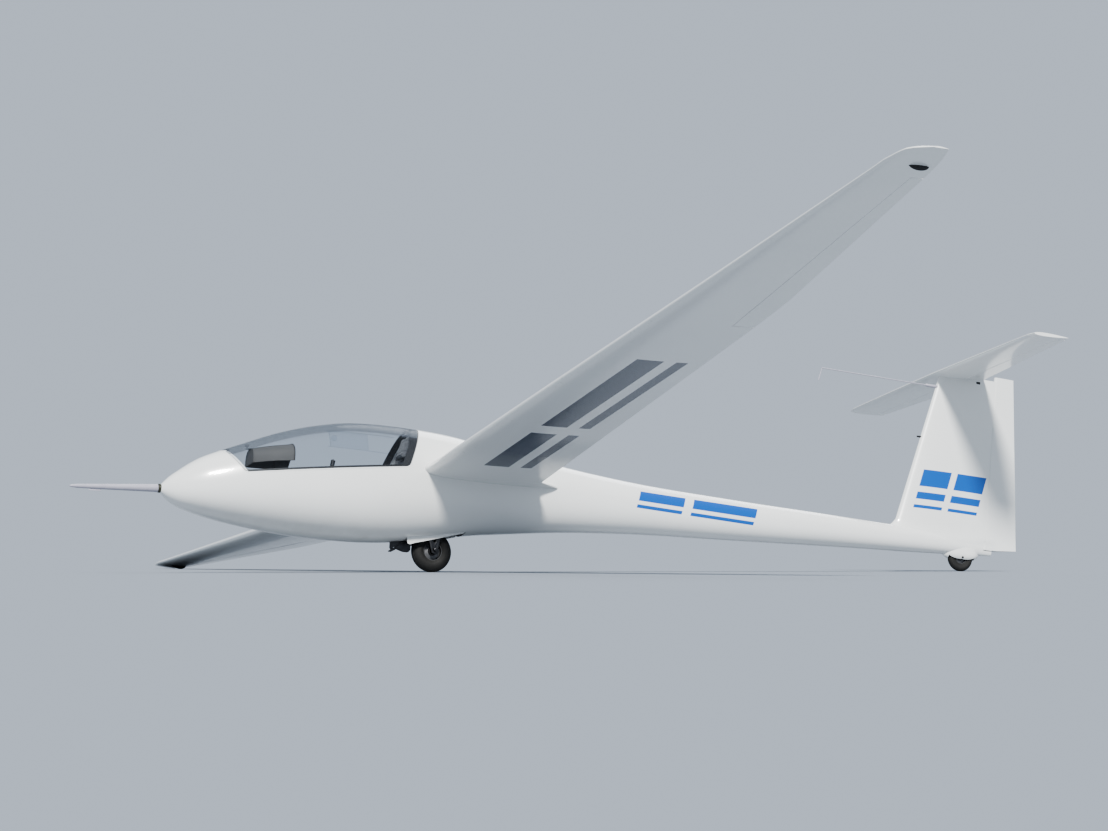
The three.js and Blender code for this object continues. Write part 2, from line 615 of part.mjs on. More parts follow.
function hingeArm(y) {
  const links = HINGE_ARM_PATH.slice(1).map(([x, z], i) => {
    const [fromX, fromZ] = HINGE_ARM_PATH[i];
    return bar(vec(fromX, y, fromZ), vec(x, y, z), HINGE_ARM_RADIUS, HINGE_ARM_RADIUS, 10)
      .add(across(x, z, y - HINGE_ARM_RADIUS, y + HINGE_ARM_RADIUS, HINGE_ARM_RADIUS + 0.5, 12));
  });
  const lug = across(pinX, pinZ, y - HINGE_LUG.half, y + HINGE_LUG.half, HINGE_LUG.radius, 20);
  const eyeHalf = HINGE_LUG.half + 3;
  const eye = across(pinX, pinZ, y - eyeHalf, y + eyeHalf, HINGE_PIN_RADIUS + SEAT_GAP, 20);
  return links.reduce((whole, link) => whole.add(link)).add(lug).subtract(eye);
}
const armRoom = fuselage(GLASS_THICKNESS + SEAT_GAP, 200, 1200);
const arms = hingeArm(-HINGE_ARM_OFFSET).add(hingeArm(HINGE_ARM_OFFSET)).intersect(armRoom);
piece('canopy_frame', rim.add(frontPlate).add(arms), blackTrim);
const pin = across(pinX, pinZ, -HINGE_PIN_HALF, HINGE_PIN_HALF, HINGE_PIN_RADIUS, 20);
const { fore: cheekFore, below: cheekBelow, above: cheekAbove } = HINGE_CHEEK_REACH;
const cheeks = HINGE_CHEEKS.map((faces) => box(
  [pinX - cheekFore, pinX + cheekFore], faces, [pinZ - cheekBelow, pinZ + cheekAbove]));
piece('canopy_hinge', cheeks.reduce((whole, cheek) => whole.add(cheek), pin).intersect(innerSeat), steel);

// Cockpit
const wallFace = cockpitWall(BULKHEAD_SETBACK - SEAT_GAP);
const wallFront = cockpitWall(BULKHEAD_SETBACK - SEAT_GAP - BULKHEAD_THICKNESS);
piece('rear_bulkhead', innerSeat.intersect(
  sideSlab([wallFront[0], wallFace[0], wallFace[1], wallFront[1]], -400, 400)), greyInterior);

const [dropX, dropZ] = SEAT_PAN.drop;
const seatOutline = [...SEAT_LINE, ...SEAT_LINE.map(([x, z]) => [x + dropX, z + dropZ]).reverse()];
const seatRib = box(SEAT_RIB.x, [-SEAT_RIB.half, SEAT_RIB.half], SEAT_RIB.z);
const stickSlot = box(STICK_SLOT.x, [-STICK_SLOT.half, STICK_SLOT.half], STICK_SLOT.z);
piece('seat_pan', sideSlab(seatOutline, -SEAT_PAN.half, SEAT_PAN.half)
  .subtract(stickSlot).add(seatRib).intersect(innerSeat), greyInterior);
piece('seat_cushion', sideSlab(SEAT_CUSHION_OUTLINE, -SEAT_CUSHION_HALF, SEAT_CUSHION_HALF), fabric);
const [backFoot, backHead] = SEAT_LINE.slice(-2);
const [backX, backZ] = unit(backFoot, backHead);
const onBack = ([along, off]) => [
  backFoot[0] + backX * along - backZ * off, backFoot[1] + backZ * along + backX * off];
piece('back_cushion', sideSlab(BACK_CUSHION_OUTLINE.map(onBack), -BACK_CUSHION_HALF, BACK_CUSHION_HALF),
  fabric);
const headrestBack = HEADREST.z.map((z) => [
  wallFront[0][0] - SEAT_GAP + ((z - wallFront[0][1]) * archX) / archZ, z]);
piece('headrest', sideSlab([
  [headrestBack[0][0] - HEADREST.depth[0], HEADREST.z[0] - HEADREST.overhang], ...headrestBack,
  [headrestBack[1][0] - HEADREST.depth[1], HEADREST.z[1] + HEADREST.overhang]],
-HEADREST.half, HEADREST.half), greyInterior);

piece('instrument_console', loft(CONSOLE_TABLE.map(([z, x0, x1, half]) =>
  [[x0, -half], [x1, -half], [x1, half], [x0, half]].map(([x, y]) => vec(x, y, z))))
  .intersect(innerSeat), blackTrim);

// The hood is an arch over the panel; the panel's upper edge follows the inside of the arch
const hoodRows = rows(HOOD_COLUMNS, HOOD_TABLE);
function hoodArch({ x, halfWidth, top, height }, inset) {
  const steps = 14;
  const power = 2 / HOOD_SQUARENESS;
  return Array.from({ length: steps + 1 }, (_, i) => {
    const [along, up] = [Math.cos((Math.PI * i) / steps), Math.sin((Math.PI * i) / steps)];
    const y = (halfWidth - inset) * Math.sign(along) * Math.abs(along) ** power;
    return vec(x, y, top - height + (height - inset) * Math.max(0, up) ** power);
  });
}
const archway = (xs, inset, drop) => loft(xs.map((x) => {
  const row = rowAt(hoodRows, x);
  const foot = row.top - row.height - drop;
  const half = row.halfWidth - inset;
  return [...hoodArch(row, inset), vec(x, -half, foot), vec(x, half, foot)];
}));
const [hoodFront, hoodMiddle, hoodRear] = hoodRows.map((row) => row.x);
const hoodHollow = archway([hoodFront - 12, hoodMiddle, hoodRear + 12], HOOD_THICKNESS, 20);
piece('glare_shield', archway([hoodFront, hoodMiddle, hoodRear], 0, 0.5).subtract(hoodHollow), blackTrim);
const [footHalf, footHeight] = PANEL_FOOT;
piece('instrument_panel', loft([PANEL_FACE_X - PANEL_THICKNESS, PANEL_FACE_X].map((x) => [
  ...hoodArch(rowAt(hoodRows, x), HOOD_THICKNESS + 2 * SEAT_GAP),
  vec(x, -footHalf, footHeight), vec(x, footHalf, footHeight)])), blackTrim);

const onCentre = ([x, z]) => vec(x, 0, z);
piece('control_stick', bar(...STICK_LINE.map(onCentre), STICK_RADIUS, STICK_RADIUS, 16)
  .add(bar(...GRIP_LINE.map(onCentre), ...GRIP_RADII, 16)).intersect(innerSeat), blackTrim);
const [gripFront, gripBack] = LEVER.grip;
piece('airbrake_lever', bar(vec(LEVER.x, LEVER.wall, LEVER.z), vec(LEVER.x, LEVER.rod, LEVER.z),
  LEVER.rodRadius, LEVER.rodRadius, 12)
  .add(bar(vec(gripFront, LEVER.rod, LEVER.z), vec(gripBack, LEVER.rod, LEVER.z),
    LEVER.gripRadius, LEVER.gripRadius, 12)).intersect(innerSeat), blackTrim);
const pedalX = (PEDALS.x[0] + PEDALS.x[1]) / 2;
const [plateInner, plateOuter] = PEDALS.plate;
piece('rudder_pedals', across(pedalX, PEDALS.bar, -PEDALS.barHalf, PEDALS.barHalf, PEDALS.barRadius, 12)
  .add(box(PEDALS.x, [-plateOuter, -plateInner], [PEDALS.bar, PEDALS.top]))
  .add(box(PEDALS.x, [plateInner, plateOuter], [PEDALS.bar, PEDALS.top]))
  .add(box(PEDALS.x, [-PEDAL_POST.half, PEDAL_POST.half], PEDAL_POST.z))
  .intersect(innerSeat), castAlloy);

// Wheels

// A tyre's section: a round crown from one bead to the other
function tyreProfile({ radius, halfWidth, bead }) {
  const profile = [[bead, -halfWidth * 0.72]];
  for (let i = 0; i <= 8; i += 1) {
    const angle = ((i / 8) * 200 - 100) * DEGREE;
    profile.push([radius - halfWidth + halfWidth * Math.cos(angle), halfWidth * Math.sin(angle)]);
  }
  profile.push([bead, halfWidth * 0.72]);
  return profile;
}

function hubProfile({ halfWidth, bead }, bore) {
  const rimRadius = bead - SEAT_GAP;
  const rimHalf = halfWidth * 0.72;
  const right = [[bore, 0.9 * halfWidth], [0.45 * bead, 0.9 * halfWidth], [0.55 * bead, 0.4 * halfWidth],
    [0.85 * bead, 0.4 * halfWidth], [rimRadius - 4, rimHalf], [rimRadius, rimHalf]];
  const left = right.map(([radius, y]) => [radius, -y]).reverse();
  return [...left, ...right].reverse();
}

piece('main_tyre', turnedAboutY(tyreProfile(MAIN_WHEEL), MAIN_WHEEL.x, MAIN_WHEEL.z, 40), rubber);
piece('main_wheel_hub', turnedAboutY(hubProfile(MAIN_WHEEL, MAIN_AXLE_RADIUS + SEAT_GAP),
  MAIN_WHEEL.x, MAIN_WHEEL.z), castAlloy);
piece('tail_tyre', turnedAboutY(tyreProfile(TAIL_WHEEL), TAIL_WHEEL.x, TAIL_WHEEL.z, 32), rubber);
piece('tail_wheel_hub', turnedAboutY(hubProfile(TAIL_WHEEL, TAIL_AXLE_RADIUS + SEAT_GAP),
  TAIL_WHEEL.x, TAIL_WHEEL.z), castAlloy);

const axle = (wheel, radius, reach) => across(wheel.x, wheel.z, -reach, reach, radius, 24);
piece('main_axle', axle(MAIN_WHEEL, MAIN_AXLE_RADIUS, MAIN_AXLE_HALF), steel);

// Main gear legs stand in the well and carry the axle
const legOutline = [
  [GEAR_LEG.topFront, ceiling - SEAT_GAP],
  [MAIN_WHEEL.x - GEAR_LEG.footHalf, GEAR_LEG.foot],
  [MAIN_WHEEL.x + GEAR_LEG.footHalf, GEAR_LEG.foot],
  [GEAR_LEG.topBack, ceiling - SEAT_GAP]];
const axleHole = axle(MAIN_WHEEL, MAIN_AXLE_RADIUS + SEAT_GAP, 200);
const legSlab = (low, high) => sideSlab(legOutline, low, high).subtract(axleHole);
piece('gear_leg_left', legSlab(-GEAR_LEG.outer, -GEAR_LEG.inner), steel);
piece('gear_leg_right', legSlab(GEAR_LEG.inner, GEAR_LEG.outer), steel);

// Gear doors hang from the edges of the well
const doorRoom = box([front + SEAT_GAP, 2300], [-150, 150], [-400, ceiling - 1]);
const doorSlab = (low, high) => sideSlab(GEAR_DOOR_OUTLINE, low, high).intersect(doorRoom);
piece('gear_door_left', doorSlab(-GEAR_DOOR.outer, -GEAR_DOOR.inner), gelcoat);
piece('gear_door_right', doorSlab(GEAR_DOOR.inner, GEAR_DOOR.outer), gelcoat);

// Tow hook ahead of the wheel, on the belly
piece('tow_hook', sideSlab(TOW_HOOK_OUTLINE, -TOW_HOOK_HALF, TOW_HOOK_HALF)
  .subtract(fuselage(-SEAT_GAP, 1500, 2200)), steel);

// Fairing over the tail wheel, with room for the tyre, and the axle across it
const fairingRing = ({ x, halfWidth, bottom }) => {
  const steps = 12;
  const lower = Array.from({ length: steps + 1 }, (_, i) => {
    const angle = (Math.PI * i) / steps;
    const depth = (TAIL_FAIRING_WAIST - bottom) * Math.sin(angle) ** 0.7;
    return vec(x, halfWidth * Math.cos(angle), TAIL_FAIRING_WAIST - depth);
  });
  return [...lower, vec(x, -halfWidth, TAIL_FAIRING_TOP), vec(x, halfWidth, TAIL_FAIRING_TOP)];
};
const wheelRoom = across(TAIL_WHEEL.x, TAIL_WHEEL.z, -TAIL_WHEEL.halfWidth - RUNNING_GAP,
  TAIL_WHEEL.halfWidth + RUNNING_GAP, TAIL_WHEEL.radius + RUNNING_GAP, 40);
piece('tail_wheel_fairing', loft(rows(TAIL_FAIRING_COLUMNS, TAIL_FAIRING_TABLE).map(fairingRing))
  .subtract(wheelRoom).subtract(fuselage(-SEAT_GAP, 5900, BOOM_AFT_END))
  .add(axle(TAIL_WHEEL, TAIL_AXLE_RADIUS, TAIL_AXLE_HALF)), gelcoat);

// Probes on the fin
const finRoot = (z) => vec(rowAt(finRows, z).leading + FITTING_SINK, 0, z);
const finFace = finSolid.translate(-SEAT_GAP, 0, 0);
const { x: socketX, z: socketZ, radii: socketRadii } = PROBE_SOCKET;
piece('total_energy_probe', bar(vec(socketX, 0, socketZ), finRoot(PROBE_HEIGHT), ...socketRadii, 16)
  .add(bar(onCentre(PROBE_BEND), vec(socketX, 0, socketZ), PROBE_RADIUS, PROBE_RADIUS, 12))
  .add(bar(vec(PROBE_BEND[0], 0, PROBE_BEND[1] + PROBE_RADIUS), onCentre(PROBE_END),
    PROBE_RADIUS, PROBE_RADIUS - 0.5, 12)).subtract(finFace), probeTube);
piece('fin_pitot', bar(vec(PITOT.x, 0, PITOT.z), finRoot(PITOT.z), ...PITOT.radii, 12)
  .subtract(finFace), blackTrim);

// Parking

// The lowest point of each of the three feet, for a floor whose upward normal is given
function feet(normal) {
  const wheelFoot = ({ x, z, radius, halfWidth }) => {
    const rolling = vec(normal.x, 0, normal.z).normalize();
    return vec(x, 0, z).addScaledVector(rolling, halfWidth - radius).addScaledVector(normal, -halfWidth);
  };
  const [a, b, c] = TIP_SKID_HALF_SIZE.map((size) => size ** 2);
  const squared = vec(normal.x * a, normal.y * b, normal.z * c);
  const reach = Math.sqrt(squared.dot(normal));
  const [skidX, skidY] = TIP_SKID_CENTRE;
  const skidFoot = vec(skidX, skidY, wingHeight(skidY)).addScaledVector(squared, -1 / reach);
  return [wheelFoot(MAIN_WHEEL), wheelFoot(TAIL_WHEEL), skidFoot];
}

// The floor is the plane through the three lowest points, found by going round a few times
let floorNormal = vec(0, 0, 1);
for (let round = 0; round < 30; round += 1) {
  const [main, tail, skid] = feet(floorNormal);
  floorNormal = tail.sub(main).cross(skid.sub(main)).normalize();
}
const aft = vec(1, 0, 0).addScaledVector(floorNormal, -floorNormal.x).normalize();
const starboard = floorNormal.clone().cross(aft);
const turn = new THREE.Matrix4().makeBasis(aft, starboard, floorNormal).transpose();
airframe.quaternion.setFromRotationMatrix(turn);

const extent = new THREE.Box3().setFromObject(parked, true);
const middle = extent.getCenter(vec(0, 0, 0));
parked.position.set(-middle.x, -middle.y, -extent.min.z);

export default parked;
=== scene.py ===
# %% [markdown]
# # A sailplane with a T-tail
# A sailplane is a long smooth shell of glass fibre, sprayed in a mould with white gelcoat. Nearly all that
# shows is that one gloss skin, so this lesson spends its effort on smooth curves first and on finishes after.
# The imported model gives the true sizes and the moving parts; every piece made here sits where the model says.

# %% Blender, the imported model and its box
import json
import math

import bpy
from mathutils import Matrix, Vector


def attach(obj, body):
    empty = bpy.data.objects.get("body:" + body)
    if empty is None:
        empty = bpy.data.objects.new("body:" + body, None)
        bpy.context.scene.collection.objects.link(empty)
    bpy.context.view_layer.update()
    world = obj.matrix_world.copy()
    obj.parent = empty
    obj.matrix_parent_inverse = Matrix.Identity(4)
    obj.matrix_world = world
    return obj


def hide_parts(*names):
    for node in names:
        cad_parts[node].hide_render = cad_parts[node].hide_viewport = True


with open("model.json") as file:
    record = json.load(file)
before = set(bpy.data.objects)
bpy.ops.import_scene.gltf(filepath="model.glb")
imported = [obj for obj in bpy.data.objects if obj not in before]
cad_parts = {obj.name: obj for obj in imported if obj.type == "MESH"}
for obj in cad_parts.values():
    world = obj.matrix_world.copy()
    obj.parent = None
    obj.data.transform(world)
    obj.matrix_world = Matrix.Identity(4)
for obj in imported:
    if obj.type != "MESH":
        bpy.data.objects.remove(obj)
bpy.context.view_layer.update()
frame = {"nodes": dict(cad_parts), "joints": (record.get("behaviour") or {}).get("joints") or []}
nodes = frame["nodes"]

# %% [markdown]
# ## The airframe's own frame
# The glider stands on two wheels and one wing tip, so it is pitched and rolled in the stored frame. It is far
# easier to draw it level: x runs aft from the nose ring, y to starboard and z up, in metres. The two wheel
# joints give the turn from that level frame to the stored one, so nothing here has to be measured twice.

# %% From the level frame to the stored frame
joints = {joint["name"]: joint for joint in frame["joints"]}
MAIN_HUB = Vector((2.010, 0, -0.205))
TAIL_HUB = Vector((6.187, 0, 0.245))
hub_spot = Vector(joints["main_wheel_spin"]["pos_m"])
starboard = Vector(joints["main_wheel_spin"]["axis"]).normalized()
hub_line = Vector(joints["tail_wheel_spin"]["pos_m"]) - hub_spot
hub_line -= starboard * hub_line.dot(starboard)
slope = math.atan2(TAIL_HUB.z - MAIN_HUB.z, TAIL_HUB.x - MAIN_HUB.x)
aft = Matrix.Rotation(slope, 3, starboard) @ hub_line.normalized()
turn = Matrix((aft, starboard, aft.cross(starboard))).transposed()
stand = turn.to_4x4()
stand.translation = hub_spot - turn @ MAIN_HUB
level = stand.inverted()
print("roll and pitch in degrees", [round(math.degrees(math.asin(way.z)), 2) for way in (starboard, aft)])

# %% [markdown]
# ## The camera and the studio
# The photograph was taken from the ground with a long lens, from the front quarter on the port side. The
# camera here stands at the same side angle and distance, a hand above the floor, with the same lens.

# %% Camera
PHOTO_AZIMUTH = math.radians(-21.5)
PHOTO_DISTANCE = 26.85
PHOTO_LENS = 121
CAMERA_HEIGHT = 0.12
CAMERA_TILT = math.radians(2.15)
CAMERA_SWING = math.radians(0.75)
FLOOR_SIZE = 8000
aim = stand @ Vector((3.3, 0, 0.2))
towards_camera = Vector((math.sin(PHOTO_AZIMUTH), -math.cos(PHOTO_AZIMUTH), 0))
camera_spot = Vector((aim.x, aim.y, 0)) + towards_camera * PHOTO_DISTANCE
camera_spot.z = CAMERA_HEIGHT
bpy.ops.object.camera_add(location=camera_spot)
camera = bpy.context.object
camera.name = "photo_camera"
camera.data.lens = PHOTO_LENS
camera.data.clip_end = FLOOR_SIZE * 0.75
camera.rotation_euler = (math.radians(90) + CAMERA_TILT, 0, PHOTO_AZIMUTH + CAMERA_SWING)
bpy.context.scene.camera = camera
print("camera at", [round(c, 2) for c in camera_spot])

# %% [markdown]
# Daylight on a white aeroplane is one strong source from high on the port side, which throws the wing's
# shadow on the body and the tailplane's on the fin, and soft light from all round. A wide sun lamp and a
# plain world do the same, and a weak lamp from the far side draws the edges. The world is given the very
# tone that the lit floor has, so the floor runs into it without a line.

# %% Lamps
LAMP_DISTANCE = 20
LAMPS = [
    # name, where the light comes from, strength, width of the source in degrees, colour
    ("key_lamp", turn @ Vector((-0.33, -1.0, 0.72)), 3.3, 9, (1.0, 0.985, 0.955)),
    ("rim_lamp", Vector((0.8, 0.75, 0.9)), 0.8, 40, (0.94, 0.97, 1.0))]
floor_light = [0.0, 0.0, 0.0]
for name, source, strength, width, colour in LAMPS:
    source_way = source.normalized()
    bpy.ops.object.light_add(type="SUN", location=source_way * LAMP_DISTANCE)
    lamp = bpy.context.object
    lamp.name = name
    lamp.data.energy = strength
    lamp.data.angle = math.radians(width)
    lamp.data.color = colour
    lamp.rotation_euler = (-source).to_track_quat("-Z", "Y").to_euler()
    floor_light = [so_far + strength * c * source_way.z for so_far, c in zip(floor_light, colour)]
print("light on the floor", [round(c, 3) for c in floor_light])

# %% World and floor
FLOOR_TONE = (0.28, 0.305, 0.34)
# A matt floor of tone a under lamps E and a world W shows a * (E / pi + W), so W is a * E / pi / (1 - a).
world_tone = [a * light / math.pi / (1 - a) for a, light in zip(FLOOR_TONE, floor_light)]
world = bpy.data.worlds.new("studio")
bpy.context.scene.world = world
world.use_nodes = True
world.node_tree.nodes["Background"].inputs["Color"].default_value = (*world_tone, 1)
world.node_tree.nodes["Background"].inputs["Strength"].default_value = 1
bpy.context.scene.view_settings.view_transform = "AgX"
bpy.context.scene.view_settings.look = "AgX - Medium High Contrast"
bpy.context.scene.view_settings.exposure = 0.45

bpy.ops.mesh.primitive_plane_add(size=FLOOR_SIZE)
floor = bpy.context.object
floor.name = "floor"
floor_paint = bpy.data.materials.new("studio_floor")
floor_paint.use_nodes = True
floor_shader = floor_paint.node_tree.nodes["Principled BSDF"]
floor_shader.inputs["Base Color"].default_value = (*FLOOR_TONE, 1)
floor_shader.inputs["Roughness"].default_value = 1
floor_shader.inputs["Specular IOR Level"].default_value = 0
floor.data.materials.append(floor_paint)
print("world tone", [round(c, 3) for c in world_tone])

# %% [markdown]
# ## Writing shader maths as Python
# A material is a graph of small sums. Wrapping a socket in a class with the arithmetic operators lets
# `1 - mask` or `height * 0.5` add the Math nodes, so each finish below reads as one short expression.

# %% A socket that can be reckoned with
class Flow:
    """A number, colour or vector on its way from one node to the next."""

    def __init__(self, paint, socket):
        self.paint = paint
        self.socket = socket

    def __add__(self, other):
        return self.paint.maths("ADD", self, other)

    def __mul__(self, other):
        return self.paint.maths("MULTIPLY", self, other)

    def __sub__(self, other):
        return self.paint.maths("SUBTRACT", self, other)

    def __rsub__(self, other):
        return self.paint.maths("SUBTRACT", other, self)

    def __abs__(self):
        return self.paint.maths("ABSOLUTE", self)

    __radd__ = __add__
    __rmul__ = __mul__


# %% A material that makes its own nodes
class Paint:
    """A material with one Principled shader. shine holds values for the shader's own sockets."""

    def __init__(self, name, shine):
        self.material = bpy.data.materials.new(name)
        self.material.use_nodes = True
        self.tree = self.material.node_tree
        self.shader = self.tree.nodes["Principled BSDF"]
        for socket, value in shine.items():
            self.feed(self.shader.inputs[socket], value)

    def feed(self, socket, value):
        if isinstance(value, Flow):
            self.tree.links.new(value.socket, socket)
        else:
            socket.default_value = value

    def node(self, kind, settings, inputs, output=0):
        made = self.tree.nodes.new(kind)
        for key, value in settings.items():
            setattr(made, key, value)
        for key, value in inputs.items():
            self.feed(made.inputs[key], value)
        return Flow(self, made.outputs[output])

    def maths(self, operation, first, second=0.0):
        return self.node("ShaderNodeMath", {"operation": operation}, {0: first, 1: second})

    def mix(self, share, first, second):
        """The first colour where share is 0, the second where it is 1. Plain ones are (red, green, blue)."""
        first, second = (c if isinstance(c, Flow) else (*c, 1) for c in (first, second))
        return self.node("ShaderNodeMix", {"data_type": "RGBA"}, {0: share, 6: first, 7: second}, 2)

    def place(self):
        """Object coordinates, turned back to the level frame."""
        where = self.node("ShaderNodeTexCoord", {}, {}, "Object")
        return self.node("ShaderNodeMapping", {}, {
            "Vector": where, "Location": level.translation, "Rotation": level.to_euler()})

    def axes(self, where):
        split = self.node("ShaderNodeSeparateXYZ", {}, {"Vector": where}).socket.node
        return [Flow(self, output) for output in split.outputs]

    def noise(self, where, scale, detail=3.0):
        return self.node("ShaderNodeTexNoise", {}, {"Vector": where, "Scale": scale, "Detail": detail}, "Fac")

    def step(self, value, low, high):
        """Goes smoothly from 0 at low to 1 at high."""
        return self.node("ShaderNodeMapRange", {"interpolation_type": "SMOOTHSTEP"}, {
            "Value": value, "From Min": low, "From Max": high})

    def within(self, value, low, high, soft=0.0015):
        return self.step(value, low - soft, low + soft) * (1 - self.step(value, high - soft, high + soft))

    def stripes(self, value, *limits):
        """1 where the value lies between any of the pairs of limits."""
        first, *others = [self.within(value, low, high) for low, high in limits]
        return sum(others, first)

    def bump(self, height, distance):
        normal = self.node("ShaderNodeBump", {}, {"Height": height, "Distance": distance, "Strength": 1})
        self.feed(self.shader.inputs["Normal"], normal)

    def colour(self, value):
        self.base = value
        self.feed(self.shader.inputs["Base Color"], value)

    def roughness(self, value):
        self.feed(self.shader.inputs["Roughness"], value)


# %% [markdown]
# ## Gelcoat
# Gelcoat is a thick white resin skin, wet-sanded and polished. Its reflections waver a little, as the mould's
# did, and it picks up some dust low on the body and behind the wheel. Plain blocks of blue and dark film lie
# on it: where two sets of stripes cross, their product is a grid of blocks.

# %% White gelcoat
MARK_BLUE = (0.012, 0.105, 0.42)
MARK_DARK = (0.012, 0.022, 0.05)
BELLY_DUST = (0.30, 0.27, 0.21)
EDGE_DUST = (0.40, 0.38, 0.33)
SEAM_GREY = (0.45, 0.45, 0.43)


def gelcoat_paint(name):
    paint = Paint(name, {"Coat Weight": 0.5, "Coat Roughness": 0.05, "Specular IOR Level": 0.5})
    where = paint.place()
    cloud = paint.noise(where, 1.7, 2.0)
    speck = paint.noise(where, 60.0, 2.0)
    white = paint.mix(cloud, (0.86, 0.862, 0.84), (0.80, 0.808, 0.79))
    paint.roughness(0.16 + cloud * 0.1 + speck * 0.05)
    paint.bump(paint.noise(where, 3.0, 1.0) * 0.8 + speck * 0.02, 0.0012)
    return paint, where, white


gelcoat, _, white = gelcoat_paint("white_gelcoat")
gelcoat.colour(white)
print("plain gelcoat", gelcoat.material.name)

# %% Gelcoat of the body, with plain blue bars on the boom and the fin
BAR_SLANT = 0.27
BOOM_SLOPE = 0.012
body_gelcoat, spot, white = gelcoat_paint("white_gelcoat_with_boom_bars")
body_x, body_y, body_z = body_gelcoat.axes(spot)
along_bars = body_x - body_z * BAR_SLANT
boom_bars = body_gelcoat.stripes(along_bars, (3.42, 3.78), (3.85, 4.36)) * body_gelcoat.stripes(
    body_z + body_x * BOOM_SLOPE, (0.312, 0.338), (0.366, 0.440))
fin_bars = body_gelcoat.stripes(along_bars, (5.61, 5.84), (5.89, 6.14)) * body_gelcoat.stripes(
    body_z, (0.575, 0.600), (0.645, 0.700), (0.745, 0.875))
off_middle = abs(body_y)
dust = body_gelcoat.step(body_z, -0.02, -0.24) * body_gelcoat.noise(spot, 9.0, 4.0)
behind_wheel = body_gelcoat.within(body_x, 2.0, 3.4, 0.35) * (1 - body_gelcoat.step(off_middle, 0.02, 0.16))
low_side = 1 - body_gelcoat.step(body_z, 0.02, 0.16)
grimy = body_gelcoat.mix(dust * 0.4 + behind_wheel * low_side * 0.22, white, BELLY_DUST)
parting_line = 1 - body_gelcoat.step(off_middle, 0.0004, 0.0012)
lined = body_gelcoat.mix(parting_line * 0.25, grimy, SEAM_GREY)
body_gelcoat.colour(body_gelcoat.mix(boom_bars + fin_bars, lined, MARK_BLUE))
print("body gelcoat nodes", len(body_gelcoat.tree.nodes))

# %% Gelcoat of the wings, with plain dark bars under the port wing
DIHEDRAL_ANGLE = math.radians(4)
DIHEDRAL = math.tan(DIHEDRAL_ANGLE)
wing_gelcoat, spot, white = gelcoat_paint("white_gelcoat_with_wing_bars")
wing_x, wing_y, wing_z = wing_gelcoat.axes(spot)
below = 1 - wing_gelcoat.step(wing_z + wing_y * DIHEDRAL, 0.294, 0.300)
wing_bars = wing_gelcoat.stripes(wing_y, (-3.42, -1.78), (-1.60, -0.70)) * wing_gelcoat.stripes(
    wing_x, (2.115, 2.300), (2.385, 2.465))
leading_edge = wing_gelcoat.step(wing_x, 1.98, 1.90)
flecks = wing_gelcoat.step(wing_gelcoat.noise(spot, 38.0, 2.0), 0.62, 0.72)
wing_white = wing_gelcoat.mix(leading_edge * flecks * 0.18, white, EDGE_DUST)
wing_gelcoat.colour(wing_gelcoat.mix(wing_bars * below, wing_white, MARK_DARK))
print("wing gelcoat nodes", len(wing_gelcoat.tree.nodes))

# %% [markdown]
# The smaller pieces take one recipe: a colour that wanders a little towards a second one over a fine grain,
# with roughness and bump from the same grain, so that metal, rubber and moulded plastic differ in their
# numbers. The clouds of the second colour are about eight times as wide as the grain.

# %% Simple finishes for the smaller pieces
def grained_paint(name, colour, second, roughness, scale, bump, metallic=0.0):
    """One colour with clouds of a second, over a grain of the given scale. bump is its depth in metres."""
    paint = Paint(name, {"Metallic": metallic})
    where = paint.place()
    cloud = paint.noise(where, scale * 0.12)
    grain = paint.noise(where, scale)
    paint.colour(paint.mix(cloud, colour, second))
    paint.roughness(roughness + (grain - 0.5) * 0.25)
    paint.bump(grain, bump)
    return paint


BLACK_PLASTIC = ((0.008, 0.008, 0.010), (0.02, 0.02, 0.023), 0.5, 260, 0.00012)
black_trim = grained_paint("matt_black_trim", *BLACK_PLASTIC)
olive_cap = grained_paint("olive_nose_ring", (0.045, 0.047, 0.026), (0.02, 0.021, 0.013), 0.5, 300, 0.0003)
probe_tube = grained_paint("grey_probe_tube", (0.46, 0.45, 0.50), (0.36, 0.35, 0.41), 0.35, 200, 0.0002)
dark_steel = grained_paint(
    "oiled_steel", (0.10, 0.10, 0.105), (0.035, 0.035, 0.038), 0.38, 180, 0.0003, metallic=1)
cast_alloy = grained_paint(
    "cast_alloy", (0.50, 0.51, 0.53), (0.33, 0.34, 0.35), 0.42, 240, 0.0004, metallic=1)
# The wheel rims take a darker copy of the cast alloy.
rim_alloy = grained_paint(
    "dark_wheel_alloy", (0.20, 0.20, 0.205), (0.10, 0.10, 0.105), 0.5, 240, 0.0003, metallic=1)
interior = grained_paint("grey_cockpit_paint", (0.36, 0.37, 0.39), (0.24, 0.25, 0.26), 0.62, 700, 0.00012)
wall_paint = grained_paint(
    "dark_grey_wall_paint", (0.17, 0.175, 0.19), (0.11, 0.114, 0.125), 0.66, 700, 0.00012)
blue_lever = grained_paint("blue_lever_enamel", (0.02, 0.12, 0.42), (0.015, 0.09, 0.32), 0.35, 150, 0.0002)
dial_white = grained_paint("dial_marking_white", (0.75, 0.75, 0.72), (0.65, 0.65, 0.62), 0.5, 400, 0.0001)
tyre_rubber = grained_paint("tyre_rubber", (0.008, 0.008, 0.008), (0.02, 0.0195, 0.018), 0.75, 320, 0.0005)
print("finishes so far", len(bpy.data.materials))

# %% The hood is grey at the sides and matt black on top, so that it throws no light on the pane
HOOD_SLOPE = 0.216
hood_paint = grained_paint(
    "grey_sided_hood_skin", (0.105, 0.101, 0.098), (0.07, 0.068, 0.066), 0.66, 700, 0.0002)
hood_x, _, hood_z = hood_paint.axes(hood_paint.place())
on_top = hood_paint.step(hood_z - hood_x * HOOD_SLOPE, 0.210, 0.216)
hood_paint.colour(hood_paint.mix(on_top, hood_paint.base, (0.012, 0.012, 0.013)))
print("hood finish", hood_paint.material.name)

